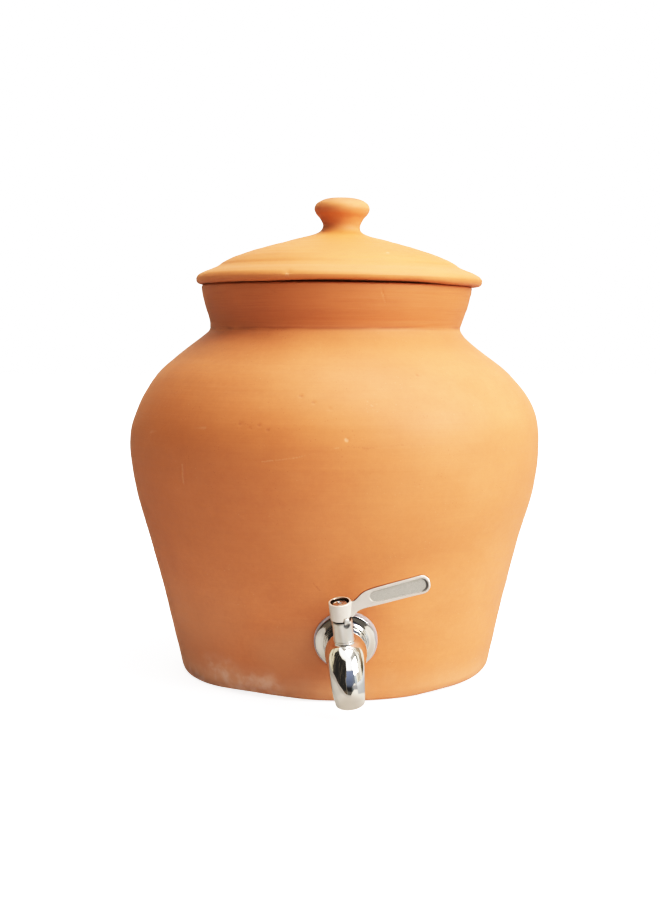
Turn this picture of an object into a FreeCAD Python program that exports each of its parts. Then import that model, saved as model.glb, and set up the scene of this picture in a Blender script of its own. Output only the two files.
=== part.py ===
import FreeCAD, Part
import math
import os

from FreeCAD import Vector, Rotation, Placement

os.makedirs("parts", exist_ok=True)

# Clay water pot with a loose clay lid and a stainless-steel lever tap.
# Millimetres. +Z up, origin at the centre of the flat underside of the pot.
# The tap points towards -Y.

# ------------------------------------------------------------------ pot
WALL = 8.0               # thickness of the fired clay wall
BASE_RADIUS = 97.0       # flat underside
BASE_CORNER = 8.5        # rounded heel
RIM_Z = 263.2            # top of the neck
NECK_RIM_RADIUS = 92.8
RIM_TILT = 0.6           # degrees, the rim falls towards +X
# outer wall (z, r) from the heel up to just below the crease under the neck
BODY_OUT = [(9.0, 107.4), (14.0, 108.4), (22.0, 110.2), (35.0, 112.9),
            (50.0, 116.3), (65.0, 120.0), (80.0, 123.8), (95.0, 127.9),
            (110.0, 132.3), (122.0, 135.5), (132.0, 137.6), (140.0, 139.0),
            (148.0, 140.0), (155.5, 140.46), (164.0, 140.0), (172.0, 138.5),
            (180.0, 135.8), (188.0, 131.9), (196.0, 126.6), (204.0, 120.2),
            (209.6, 114.2), (216.4, 105.6), (223.2, 96.9), (228.6, 90.3),
            (232.7, 86.7)]
CREASE = (234.7, 86.2)
NECK_OUT = [(238.8, 86.8), (242.9, 88.1), (247.0, 89.5), (251.0, 90.65),
            (255.1, 91.6), (259.2, 92.5), (262.6, 92.8)]
# inner wall (z, r), WALL inside the outer one
BODY_IN = [(19.2, 101.4), (27.4, 103.2), (44.3, 106.7), (61.1, 110.8),
           (77.8, 115.0), (94.5, 119.5), (111.1, 124.3), (127.1, 128.4),
           (143.4, 131.4), (159.0, 132.4), (173.6, 129.7), (187.1, 123.0),
           (199.4, 113.5), (209.8, 101.0), (220.5, 87.7), (229.0, 80.2),
           (236.0, 78.2), (245.0, 80.2), (255.0, 83.6), (262.6, 85.2)]
FLOOR_Z = 10.0           # inside floor
HOLE_R = 8.6             # hole for the tap's shank

# ------------------------------------------------------------------ lid
LID_OUT = [(267.3, 97.7), (268.6, 97.3), (270.0, 96.2), (271.3, 94.2),
           (272.7, 91.5), (274.1, 87.6), (275.5, 84.3), (276.8, 81.9),
           (278.2, 80.2), (281.0, 75.0), (283.7, 68.6), (286.5, 60.5),
           (289.2, 51.5), (292.0, 41.7), (294.8, 31.5), (296.7, 23.8),
           (298.3, 18.2), (299.8, 14.9), (301.6, 13.2), (304.3, 12.57),
           (307.0, 13.5), (309.7, 15.2), (312.4, 17.6), (315.8, 18.9),
           (319.2, 17.5), (321.9, 13.0), (323.2, 7.4), (323.6, 0.0)]
LID_FLANGE_UNDER_Z = 263.55
LID_FLANGE_UNDER_R = 94.6
LID_RING_OUT = 79.0      # locating ring that hangs inside the neck
LID_RING_IN = 73.0
LID_RING_Z = 251.5
LID_SHIFT = 2.8          # the lid sits this far towards +X
LID_TRAVEL = 120.0       # lift modelled on the lid's joint

# ------------------------------------------------------------------ tap frame
TAP_TILT = 14.5          # the tap's axis falls this much towards the spout
TAP_ROLL = 6.0           # the tap is turned this much about its own axis
TAP_X = 6.9
TAP_Z = 42.2
TAP_R = 114.6            # outer wall radius at the tap
TAP_Y = -math.sqrt(TAP_R ** 2 - TAP_X ** 2)

SHANK_R = 8.0            # M16 thread on the shank
SHANK_ROOT = 7.15
SHANK_PITCH = 1.5
SHANK_BORE = 5.0
SHANK_FRONT = 14.0       # front end inside the tap's body
SHANK_BACK = 26.0        # back end inside the pot
STEM_O = 22.5            # stem axis in front of the wall
BALL_R = 6.5
PORT_R = 3.5
CHAMBER_R = 7.6
SEAT_R = 7.55
BORE_R = 6.9             # outlet bore of the spout
BONNET_R = 6.2
BONNET_Z0, BONNET_Z1 = 11.6, 25.3
STEM_R = 3.5
HUB_R = 6.75
HUB_Z0, HUB_Z1 = 26.7, 37.5
FLAT = 2.6               # half distance across the stem's two flats
LEVER_LEAN = 20.0        # the blade's face leans back from the stem axis
BLADE_T = 3.0

V = Vector
TAP = Placement(V(TAP_X, TAP_Y, TAP_Z),
                Rotation(V(1, 0, 0), TAP_TILT) * Rotation(V(0, 1, 0), -TAP_ROLL))


def spline(points, t0=None, t1=None):
    c = Part.BSplineCurve()
    if t0 is not None:
        c.interpolate(points, InitialTangent=t0, FinalTangent=t1)
    else:
        c.interpolate(points)
    return c.toShape()


def line(a, b):
    return Part.LineSegment(a, b).toShape()


def arc(a, b, c):
    return Part.Arc(a, b, c).toShape()


def zr(pair):
    return V(pair[1], 0, pair[0])


def arcs(points):
    """A run of arcs, each through three points of the section. Where the wall is nearly straight it is cones."""
    edges = []
    i = 0
    while i + 2 < len(points):
        a, b, c = points[i:i + 3]
        turn = (b - a).cross(c - b).Length / ((b - a).Length * (c - b).Length)
        e = None if turn < 0.012 else arc(a, b, c)
        if e is None or e.Curve.Center.x < 10.0 or e.Curve.Radius > 400.0:
            edges += [line(a, b), line(b, c)]
        else:
            edges.append(e)
        i += 2
    if i + 1 < len(points):
        edges.append(line(points[i], points[i + 1]))
    return edges


def revolve_edges(edges, base=V(0, 0, 0), axis=V(0, 0, 1)):
    face = Part.Face(Part.Wire(edges))
    s = face.revolve(base, axis, 360)
    if s.Volume < 0:
        s.reverse()
    return s


def poly_face(points):
    pts = list(points) + [points[0]]
    return Part.Face(Part.makePolygon(pts))


def revolve_poly(points, base=V(0, 0, 0), axis=V(0, 0, 1)):
    s = poly_face(points).revolve(base, axis, 360)
    if s.Volume < 0:
        s.reverse()
    return s


def out(o, r, x=None):
    """Point of a section turned about the tap's axis: o in front of the wall, r off the axis."""
    return V(r, -o, 0)


def ring_o(o0, o1, r0, r1):
    """Plain ring about the tap's axis, from o0 to o1 in front of the wall."""
    return revolve_poly([V(r0, -o0, 0), V(r1, -o0, 0), V(r1, -o1, 0), V(r0, -o1, 0)],
                        V(0, 0, 0), V(0, 1, 0))


def cyl_o(o0, o1, r):
    return Part.makeCylinder(r, o1 - o0, V(0, -o0, 0), V(0, -1, 0))


def cyl_z(z0, z1, r):
    return Part.makeCylinder(r, z1 - z0, V(0, -STEM_O, z0), V(0, 0, 1))


def sector(r0, r1, z0, z1, a0, a1):
    """Part of a ring about the stem axis between two azimuths, in degrees from +x."""
    n = max(2, int(abs(a1 - a0) / 6))
    pts = []
    for i in range(n + 1):
        a = math.radians(a0 + (a1 - a0) * i / n)
        pts.append(V(r1 * math.cos(a), -STEM_O + r1 * math.sin(a), z0))
    for i in range(n, -1, -1):
        a = math.radians(a0 + (a1 - a0) * i / n)
        pts.append(V(r0 * math.cos(a), -STEM_O + r0 * math.sin(a), z0))
    return poly_face(pts).extrude(V(0, 0, z1 - z0))


def circle_wire(centre, normal, r):
    return Part.Wire(Part.makeCircle(r, centre, normal))


def save(shape, name):
    if shape.ShapeType != "Solid" and len(shape.Solids) == 1:
        shape = shape.Solids[0]
    print("%-16s solids %d  volume %10.1f  valid %s" % (name, len(shape.Solids), shape.Volume, shape.isValid()))
    shape.exportStep("parts/%s.step" % name)
    return shape


def place(shape):
    s = shape.copy()
    s.Placement = TAP.multiply(s.Placement)
    return s


# ================================================================== pot body
heel_top = BODY_OUT[0]
outer_edges = [
    line(V(0, 0, 0), V(BASE_RADIUS, 0, 0)),
    arc(V(BASE_RADIUS, 0, 0), V(104.2, 0, 2.2), zr(heel_top)),
    *arcs([zr(p) for p in BODY_OUT]),
    arc(zr(BODY_OUT[-1]), V(86.25, 0, 233.7), zr(CREASE)),
    *arcs([zr(CREASE)] + [zr(p) for p in NECK_OUT]),
    arc(zr(NECK_OUT[-1]), V(92.0, 0, 264.3), V(90.6, 0, 264.9)),
    line(V(90.6, 0, 264.9), V(0, 0, 264.9)),
    line(V(0, 0, 264.9), V(0, 0, 0)),
]
pot_outer = revolve_edges(outer_edges)
inner_edges = [
    line(V(0, 0, FLOOR_Z), V(91.0, 0, FLOOR_Z)),
    arc(V(91.0, 0, FLOOR_Z), V(98.6, 0, 13.0), zr(BODY_IN[0])),
    *arcs([zr(p) for p in BODY_IN]),
    arc(zr(BODY_IN[-1]), V(86.2, 0, 264.2), V(87.6, 0, 264.95)),
    line(V(87.6, 0, 264.95), V(87.6, 0, 270.0)),
    line(V(87.6, 0, 270.0), V(0, 0, 270.0)),
    line(V(0, 0, 270.0), V(0, 0, FLOOR_Z)),
]
pot_inner = revolve_edges(inner_edges)
shank_hole = place(cyl_o(-40.0, 20.0, HOLE_R))
pot = pot_outer.cut(pot_inner)
# the rim is cut level with the lid's tilt
rim_cut = Part.makeBox(260, 260, 30, V(-130, -130, 0))
rim_cut.Placement = Placement(V(0, 0, RIM_Z), Rotation(V(0, 1, 0), RIM_TILT)).multiply(rim_cut.Placement)
pot = pot.cut(rim_cut)
pot = pot.cut(shank_hole)
pot = save(pot, "pot_body")

# ================================================================== lid
lid_edges = [
    line(V(0, 0, 277.5 + 11.0), V(0, 0, LID_OUT[-1][0])),
    *arcs([zr(p) for p in reversed(LID_OUT)]),
    arc(zr(LID_OUT[0]), V(97.0, 0, 264.9), V(LID_FLANGE_UNDER_R, 0, LID_FLANGE_UNDER_Z)),
    line(V(LID_FLANGE_UNDER_R, 0, LID_FLANGE_UNDER_Z), V(LID_RING_OUT + 1.6, 0, LID_FLANGE_UNDER_Z)),
    line(V(LID_RING_OUT + 1.6, 0, LID_FLANGE_UNDER_Z), V(LID_RING_OUT, 0, LID_FLANGE_UNDER_Z - 1.6)),
    line(V(LID_RING_OUT, 0, LID_FLANGE_UNDER_Z - 1.6), V(LID_RING_OUT - 0.6, 0, LID_RING_Z + 1.5)),
    arc(V(LID_RING_OUT - 0.6, 0, LID_RING_Z + 1.5), V(0.5 * (LID_RING_OUT + LID_RING_IN) - 0.3, 0, LID_RING_Z),
        V(LID_RING_IN, 0, LID_RING_Z + 1.5)),
    line(V(LID_RING_IN, 0, LID_RING_Z + 1.5), V(LID_RING_IN, 0, 266.0)),
    *arcs([V(LID_RING_IN, 0, 266.0), V(72.0, 0, 271.6), V(68.0, 0, 275.4), V(60.0, 0, 279.2),
           V(48.0, 0, 283.0), V(34.0, 0, 286.2), V(0, 0, 288.5)]),
]
lid = revolve_edges(lid_edges)
lid_place = Placement(V(LID_SHIFT, 0, RIM_Z), Rotation(V(0, 1, 0), RIM_TILT)).multiply(Placement(V(0, 0, -RIM_Z), Rotation()))
lid.Placement = lid_place.multiply(lid.Placement)
lid = save(lid, "lid")

# ================================================================== fixed pieces on the wall
world_pot = pot_outer.copy()
inv = TAP.inverse()
wall_outer = pot_outer.copy()
wall_outer.Placement = inv.multiply(wall_outer.Placement)
wall_inner = pot_inner.copy()
wall_inner.Placement = inv.multiply(wall_inner.Placement)

# outer sealing washer: soft, it takes up the curve of the wall
washer_o = revolve_poly([V(8.25, 6.0, 0), V(19.7, 6.0, 0), V(19.7, -1.3, 0), V(19.4, -1.6, 0), V(8.25, -1.6, 0)],
                        V(0, 0, 0), V(0, 1, 0))
washer_o = washer_o.cut(wall_outer)
save(place(washer_o), "outer_sealing_washer")

# dished rosette with a raised collar round the tap's body
flange_edges = [
    line(out(1.6, 8.1), out(1.6, 18.6)),
    arc(out(1.6, 18.6), out(2.0, 18.87), out(2.45, 18.7)),
    spline([out(2.45, 18.7), out(3.0, 17.1), out(3.5, 15.3), out(3.9, 13.95)]),
    line(out(3.9, 13.95), out(4.9, 13.6)),
    arc(out(4.9, 13.6), out(5.35, 13.1), out(4.9, 12.6)),
    line(out(4.9, 12.6), out(4.2, 12.6)),
    line(out(4.2, 12.6), out(4.2, 8.1)),
    line(out(4.2, 8.1), out(1.6, 8.1)),
]
flange = revolve_edges(flange_edges, V(0, 0, 0), V(0, 1, 0))
save(place(flange), "flange")

# threaded shank: where it stands out of the nut, its thread is cut as grooves of the real pitch and depth
pts = [V(SHANK_BORE, -SHANK_FRONT, 0), V(7.3, -SHANK_FRONT, 0), V(SHANK_R - 0.05, -SHANK_FRONT + 0.7, 0),
       V(SHANK_R - 0.05, -13.2, 0), V(6.85, -13.2, 0), V(6.85, -11.9, 0), V(SHANK_R - 0.05, -11.9, 0)]
pts.append(V(SHANK_R, -11.0, 0))
o = -18.0
while o > -SHANK_BACK + 2.0:
    pts += [V(SHANK_R, -o, 0), V(SHANK_ROOT, -o + 0.5 * SHANK_PITCH, 0)]
    o -= SHANK_PITCH
pts += [V(SHANK_R, -o, 0), V(SHANK_R, SHANK_BACK - 0.8, 0), V(SHANK_R - 0.8, SHANK_BACK, 0),
        V(SHANK_BORE + 0.5, SHANK_BACK, 0), V(SHANK_BORE, SHANK_BACK - 0.5, 0)]
shank = revolve_poly(pts, V(0, 0, 0), V(0, 1, 0))
save(place(shank), "shank")


def o_ring(centre, normal, major, minor):
    return Part.makeTorus(major, minor, centre, normal)


save(place(o_ring(V(0, -12.55, 0), V(0, 1, 0), 7.42, 0.53)), "shank_o_ring")

# inside the pot: soft washer, flat steel washer, hexagon nut
washer_i = ring_o(-12.2, -2.0, 8.3, 14.5)
washer_i = washer_i.common(wall_inner)
save(place(washer_i), "inner_sealing_washer")
back = ring_o(-13.7, -12.2, 8.2, 14.2)
save(place(back), "backing_washer")
NUT_AF = 22.0
hexpts = [V(NUT_AF / math.sqrt(3) * math.cos(math.radians(60 * i + 30)), 13.7,
            NUT_AF / math.sqrt(3) * math.sin(math.radians(60 * i + 30))) for i in range(6)]
nut = poly_face(hexpts).extrude(V(0, 6.0, 0))
nut = nut.cut(cyl_o(-25.0, -10.0, SHANK_R + 0.05))
cone = revolve_poly([V(7.0, 13.7, 0), V(11.4, 13.7, 0), V(12.9, 14.55, 0), V(12.9, 18.85, 0), V(11.4, 19.7, 0), V(7.0, 19.7, 0)],
                    V(0, 0, 0), V(0, 1, 0))
nut = nut.common(cone)
save(place(nut), "lock_nut")

# ================================================================== tap body
# round sections along a path that leaves the wall and bends down into the spout
BEND_O, BEND_R, OUTLET_Z = 20.0, 17.0, -23.0


def path(phi_deg):
    a = math.radians(phi_deg)
    return (BEND_O + BEND_R * math.sin(a), -BEND_R * (1 - math.cos(a)), a)


def section(o, z, a, r):
    return circle_wire(V(0, -o, z), V(0, -math.cos(a), -math.sin(a)), r)


secs = [section(4.2, 0, 0, 12.35), section(7.0, 0, 0, 12.75), section(11.0, 0, 0, 13.05), section(16.0, 0, 0, 13.05),
        section(20.0, 0, 0, 12.7)]
for phi, r in ((14, 12.15), (28, 11.6), (42, 11.15), (56, 10.75), (72, 10.3), (88, 9.75)):
    po, pz, pa = path(phi)
    secs.append(section(po, pz, pa, r))
secs += [section(37.0, -19.4, math.pi / 2, 9.35), section(37.0, OUTLET_Z, math.pi / 2, 8.9)]
tap_outer = Part.makeLoft(secs, True, False)
print("tap loft", tap_outer.isValid(), tap_outer.Volume)
tap_outer = tap_outer.fuse(cyl_z(0.0, BONNET_Z0, 6.6))
tap_outer = tap_outer.cut(cyl_z(BONNET_Z0, 20.0, 6.6))
bore = Part.makeLoft([section(30.2, 0, 0, 3.7), section(31.2, -0.35, math.radians(20), 4.1),
                      section(33.6, -2.9, math.radians(48), 5.0),
                      section(36.1, -7.2, math.radians(76), 6.3), section(37.0, -11.8, math.pi / 2, BORE_R)], True, False)
tap_body = tap_outer.cut(cyl_o(0.0, 14.6, SHANK_R + 0.05))
tap_body = tap_body.cut(cyl_o(14.0, 30.3, CHAMBER_R))
tap_body = tap_body.cut(bore)
tap_body = tap_body.cut(Part.makeCylinder(BORE_R, 11.3, V(0, -37.0, OUTLET_Z - 0.1), V(0, 0, 1)))
tap_body = tap_body.cut(cyl_z(0.0, BONNET_Z0 + 0.1, 5.45))
save(place(tap_body), "tap_body")

# PTFE seats, dished to the ball
ball_space = Part.makeSphere(BALL_R + 0.06, V(0, -STEM_O, 0))
save(place(ring_o(14.05, 17.8, 3.7, SEAT_R).cut(ball_space)), "inlet_seat")
save(place(ring_o(27.2, 30.25, 3.7, SEAT_R).cut(ball_space)), "outlet_seat")

# bonnet screwed into the top of the body, with the stop lug on its collar
bonnet = cyl_z(BONNET_Z0, BONNET_Z1, BONNET_R)
bonnet = bonnet.fuse(cyl_z(7.9, BONNET_Z0, 5.4))
lug = sector(4.95, 6.85, 22.9, 28.2, -76.0, -46.0)
bonnet = bonnet.fuse(lug)
bonnet = bonnet.cut(cyl_z(5.0, 30.0, STEM_R + 0.05))
bonnet = bonnet.cut(cyl_z(7.0, 9.65, 4.5))
groove = cyl_z(10.1, 11.3, 5.6).cut(cyl_z(10.0, 11.4, 4.45))
bonnet = bonnet.cut(groove)
save(place(bonnet), "bonnet")
save(place(o_ring(V(0, -STEM_O, 10.7), V(0, 0, 1), 4.95, 0.47)), "bonnet_o_ring")
dust = cyl_z(25.32, 26.35, 5.85).cut(cyl_z(25.0, 27.0, 3.62)).cut(sector(4.8, 7.0, 25.0, 27.0, -78.0, -44.0))
save(place(dust), "dust_ring")

# ================================================================== moving pieces
ball = Part.makeSphere(BALL_R, V(0, -STEM_O, 0))
ball = ball.cut(Part.makeCylinder(PORT_R, 20.0, V(-10.0, -STEM_O, 0), V(1, 0, 0)))
ball = ball.cut(Part.makeBox(20.0, 2.5, 4.0, V(-10.0, -STEM_O - 1.25, 4.5)))
save(place(ball), "ball")

stem = cyl_z(9.0, 32.6, STEM_R).fuse(cyl_z(7.2, 9.0, 4.4))
stem = stem.fuse(Part.makeBox(6.0, 2.4, 3.0, V(-3.0, -STEM_O - 1.2, 4.6)))
for zc in (13.6, 19.2):
    stem = stem.cut(cyl_z(zc - 0.65, zc + 0.65, STEM_R + 1.0).cut(cyl_z(zc - 0.7, zc + 0.7, 2.45)))
for sy in (1, -1):
    stem = stem.cut(Part.makeBox(12.0, 3.0, 7.0, V(-6.0, -STEM_O + (FLAT if sy > 0 else -FLAT - 3.0), HUB_Z0)))
stem = stem.cut(cyl_z(22.0, 33.0, 1.65))
save(place(stem), "stem")
rings = [o_ring(V(0, -STEM_O, zc), V(0, 0, 1), 3.0, 0.5) for zc in (13.6, 19.2)]
save(place(Part.makeCompound(rings)), "stem_o_rings")
save(place(cyl_z(9.02, 9.6, 4.4).cut(cyl_z(8.0, 11.0, 3.55))), "thrust_washer")

# lever: hub, blade with a sunk panel, relief for the stop lug
hub = cyl_z(HUB_Z0, HUB_Z1, HUB_R)
hub = hub.makeFillet(0.35, [e for e in hub.Edges if len(e.Vertexes) <= 2 and abs(e.BoundBox.ZMin - HUB_Z1) < 0.01 and abs(e.BoundBox.ZMax - HUB_Z1) < 0.01])
b = math.radians(LEVER_LEAN)
face_n = V(0, -math.cos(b), math.sin(b))
face_u = V(1, 0, 0)
face_v = V(0, math.sin(b), math.cos(b))
face_o = V(0, -24.0, 36.0)


def fp(x, v, d=0.0):
    return face_o + face_u * x + face_v * v + face_n * d


tip_c, tip_r = (49.4, 7.1), 5.15
TOP = [(3.0, 0.2), (6.6, 0.9), (9.8, 2.2), (12.1, 3.4), (15.8, 5.1), (19.4, 6.1), (24.7, 7.2), (33.6, 9.05), (42.4, 10.9)]
top_dir = math.radians(12.0)
tip_top = (tip_c[0] - tip_r * math.sin(top_dir), tip_c[1] + tip_r * math.cos(top_dir))
bot_dir = math.radians(9.2)
tip_bot = (tip_c[0] + tip_r * math.sin(bot_dir), tip_c[1] - tip_r * math.cos(bot_dir))
BOT = [(41.4, 0.75), (32.6, -0.6), (26.0, -1.65), (19.4, -2.6), (15.0, -3.2), (11.4, -4.1), (9.1, -5.5), (7.3, -7.6), (3.0, -8.2)]
top_edge = spline([fp(*p) for p in TOP + [tip_top]])
tip_edge = arc(fp(*tip_top), fp(tip_c[0] + tip_r, tip_c[1] + 0.1), fp(*tip_bot))
bot_edge = spline([fp(*p) for p in [tip_bot] + BOT])
back_edge = line(fp(*BOT[-1]), fp(*TOP[0]))
blade = Part.Face(Part.Wire([top_edge, tip_edge, bot_edge, back_edge])).extrude(face_n * (-BLADE_T))
if blade.Volume < 0:
    blade.reverse()
# sunk panel with round ends
pl, prl = (20.9, 2.35), 2.65
pr, prr = (49.4, 7.1), 3.95
ang = math.atan2(pr[1] - pl[1], pr[0] - pl[0])
dist = math.hypot(pr[0] - pl[0], pr[1] - pl[1])
spread = math.asin((prr - prl) / dist)


def on(c, r, a):
    return (c[0] + r * math.cos(a), c[1] + r * math.sin(a))


a_top = ang + math.pi / 2 + spread
a_bot = ang - math.pi / 2 - spread
p1, p2 = on(pl, prl, a_top), on(pr, prr, a_top)
p3, p4 = on(pr, prr, a_bot), on(pl, prl, a_bot)
panel_wire = Part.Wire([line(fp(*p1), fp(*p2)), arc(fp(*p2), fp(*on(pr, prr, ang)), fp(*p3)),
                        line(fp(*p3), fp(*p4)), arc(fp(*p4), fp(*on(pl, prl, ang + math.pi)), fp(*p1))])
panel_cut = Part.Face(panel_wire).extrude(face_n * (-0.6))
if panel_cut.Volume < 0:
    panel_cut.reverse()
lever = hub.fuse(blade)
lever = lever.cut(panel_cut)
lever = lever.cut(cyl_z(33.2, 40.0, 5.6))
dd = cyl_z(20.0, 34.0, STEM_R + 0.04)
dd = dd.common(Part.makeBox(12.0, 2 * (FLAT + 0.04), 20.0, V(-6.0, -STEM_O - FLAT - 0.04, 19.0)))
lever = lever.cut(dd)
lever = lever.cut(sector(4.95, 7.6, 20.0, 28.7, -79.5, 54.0))
save(place(lever), "lever")

# split spring washer and cross-head screw
sw = cyl_z(33.22, 34.0, 3.9).cut(cyl_z(33.0, 35.0, 2.3))
sw = sw.cut(Part.makeBox(6.0, 0.6, 3.0, V(0.5, -STEM_O - 0.3, 32.5)))
save(place(sw), "spring_washer")
head = revolve_edges([line(V(0, 0, 34.02), V(4.3, 0, 34.02)), line(V(4.3, 0, 34.02), V(4.4, 0, 35.1)),
                      arc(V(4.4, 0, 35.1), V(3.2, 0, 36.4), V(0, 0, 36.85)), line(V(0, 0, 36.85), V(0, 0, 34.02))])
screw = head.fuse(Part.makeCylinder(1.6, 10.6, V(0, 0, 23.5), V(0, 0, 1)))
for k in (0, 1):
    w = Part.makeBox(3.6, 0.75, 3.0, V(-1.8, -0.375, 35.4))
    w.rotate(V(0, 0, 0), V(0, 0, 1), 25 + 90 * k)
    screw = screw.cut(w)
screw.translate(V(0, -STEM_O, 0))
save(place(screw), "handle_screw")

# ------------------------------------------------------------------ summary
bb = pot.BoundBox
print("pot", bb.XLength, bb.YLength, bb.ZLength, "lid top", lid.BoundBox.ZMax)
a0 = TAP.Rotation.multVec(V(0, 0, 1))
p0 = TAP.multVec(V(0, -STEM_O, 0))
print("hinge axis", a0, "through", p0)
print("outlet", TAP.multVec(V(0, -37.0, OUTLET_Z)), "dir", TAP.Rotation.multVec(V(0, 0, -1)))
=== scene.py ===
import math

import bmesh
import bpy
import numpy as np
from mathutils import Matrix, Vector


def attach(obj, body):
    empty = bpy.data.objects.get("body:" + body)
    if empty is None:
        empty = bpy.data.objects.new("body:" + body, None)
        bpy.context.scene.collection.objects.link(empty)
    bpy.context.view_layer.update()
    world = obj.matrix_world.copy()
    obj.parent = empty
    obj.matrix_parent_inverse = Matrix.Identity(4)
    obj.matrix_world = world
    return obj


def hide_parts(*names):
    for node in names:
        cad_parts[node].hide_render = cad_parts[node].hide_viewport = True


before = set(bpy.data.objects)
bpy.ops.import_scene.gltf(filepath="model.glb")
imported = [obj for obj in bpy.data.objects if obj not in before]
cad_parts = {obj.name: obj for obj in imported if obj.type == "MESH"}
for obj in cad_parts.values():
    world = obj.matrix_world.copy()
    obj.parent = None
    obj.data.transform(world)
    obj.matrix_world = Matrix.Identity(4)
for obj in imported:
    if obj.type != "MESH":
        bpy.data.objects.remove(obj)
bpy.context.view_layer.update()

scene = bpy.context.scene
MM = 0.001
FLOOR_GLOW = 0.64

# ---------------------------------------------------------------- tap frame
# local x to the right, -y away from the wall, z up the stem
TILT, ROLL = math.radians(14.5), math.radians(6.0)


def rot_x(a):
    c, s = math.cos(a), math.sin(a)
    return np.array([[1, 0, 0], [0, c, -s], [0, s, c]])


def rot_y(a):
    c, s = math.cos(a), math.sin(a)
    return np.array([[c, 0, s], [0, 1, 0], [-s, 0, c]])


TAP_M = rot_x(TILT) @ rot_y(-ROLL)
TAP_0 = np.array([6.9, -math.sqrt(114.6 ** 2 - 6.9 ** 2), 42.2])
STEM_O = 22.5


def tap_world(p):
    """Tap-local millimetres to row-frame millimetres."""
    return TAP_0 + np.asarray(p, float) @ TAP_M.T


# ---------------------------------------------------------------- noise
def lattice_noise(u, v, nu, seed, periodic=True):
    """Smooth value noise in -1..1. u in turns (0..1, wraps), v in cells."""
    u = (np.asarray(u, float) % 1.0) * nu
    v = np.asarray(v, float)
    v0 = np.floor(v.min())
    v = v - v0
    nv = int(v.max()) + 4
    g = np.random.default_rng(seed).uniform(-1.0, 1.0, (nu, nv))
    i, j = np.floor(u).astype(int), np.floor(v).astype(int)
    fu, fv = u - i, v - j
    fu = fu * fu * fu * (fu * (fu * 6 - 15) + 10)
    fv = fv * fv * fv * (fv * (fv * 6 - 15) + 10)
    i0, i1 = i % nu, (i + 1) % nu
    a = g[i0, j] * (1 - fu) + g[i1, j] * fu
    b = g[i0, j + 1] * (1 - fu) + g[i1, j + 1] * fu
    return a * (1 - fv) + b * fv


def smoothstep(a, b, x):
    t = np.clip((x - a) / (b - a), 0.0, 1.0)
    return t * t * (3 - 2 * t)


def catmull(points, step):
    """Smooth curve through 2-D points, sampled about every step."""
    p = np.asarray(points, float)
    p = np.vstack([2 * p[0] - p[1], p, 2 * p[-1] - p[-2]])
    out = []
    for k in range(1, len(p) - 2):
        p0, p1, p2, p3 = p[k - 1], p[k], p[k + 1], p[k + 2]
        t0, t1 = 0.0, max(np.linalg.norm(p1 - p0) ** 0.5, 1e-6)
        t2 = t1 + max(np.linalg.norm(p2 - p1) ** 0.5, 1e-6)
        t3 = t2 + max(np.linalg.norm(p3 - p2) ** 0.5, 1e-6)
        n = max(1, int(round(np.linalg.norm(p2 - p1) / step)))
        t = np.linspace(t1, t2, n, endpoint=False)[:, None]
        a1 = (t1 - t) / (t1 - t0) * p0 + (t - t0) / (t1 - t0) * p1
        a2 = (t2 - t) / (t2 - t1) * p1 + (t - t1) / (t2 - t1) * p2
        a3 = (t3 - t) / (t3 - t2) * p2 + (t - t2) / (t3 - t2) * p3
        b1 = (t2 - t) / (t2 - t0) * a1 + (t - t0) / (t2 - t0) * a2
        b2 = (t3 - t) / (t3 - t1) * a2 + (t - t1) / (t3 - t1) * a3
        out.append((t2 - t) / (t2 - t1) * b1 + (t - t1) / (t2 - t1) * b2)
    out.append(p[-2][None, :])
    return np.vstack(out)


def smooth_run(p, sigma, passes=1):
    """Evens a sampled run out, its two ends held."""
    p = p.copy()
    k = max(1, int(3 * sigma))
    w = np.exp(-0.5 * (np.arange(-k, k + 1) / sigma) ** 2)
    w /= w.sum()
    for _ in range(passes):
        pad = np.vstack([2 * p[0] - p[k:0:-1], p, 2 * p[-1] - p[-2:-k - 2:-1]])
        p = np.stack([np.convolve(pad[:, c], w, "valid") for c in range(p.shape[1])], 1)
    return p


# ---------------------------------------------------------------- mesh helpers
def mesh_object(name, verts, faces, sharp=None):
    """verts in millimetres; faces a list of index tuples or an (n, 4) array."""
    me = bpy.data.meshes.new(name)
    v = np.asarray(verts, float) * MM
    if isinstance(faces, np.ndarray):
        faces = faces.tolist()
    me.from_pydata(v.tolist(), [], faces)
    me.polygons.foreach_set("use_smooth", [True] * len(me.polygons))
    if sharp is not None:
        me.set_sharp_from_angle(angle=math.radians(sharp))
    me.update()
    ob = bpy.data.objects.new(name, me)
    scene.collection.objects.link(ob)
    return ob


def ring_faces(rows, cols, closed_rows=False, flip=False):
    """Quads of a grid whose columns wrap round."""
    i = np.arange(rows - (0 if closed_rows else 1))
    j = np.arange(cols)
    a = (i[:, None] * cols + j[None, :])
    b = (i[:, None] * cols + (j[None, :] + 1) % cols)
    c = (((i[:, None] + 1) % rows) * cols + (j[None, :] + 1) % cols)
    d = (((i[:, None] + 1) % rows) * cols + j[None, :])
    q = np.stack([a, b, c, d], -1).reshape(-1, 4)
    return q[:, ::-1] if flip else q


def outward(ob):
    bm = bmesh.new()
    bm.from_mesh(ob.data)
    bmesh.ops.recalc_face_normals(bm, faces=bm.faces)
    bm.to_mesh(ob.data)
    bm.free()
    ob.data.update()
    return ob


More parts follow.
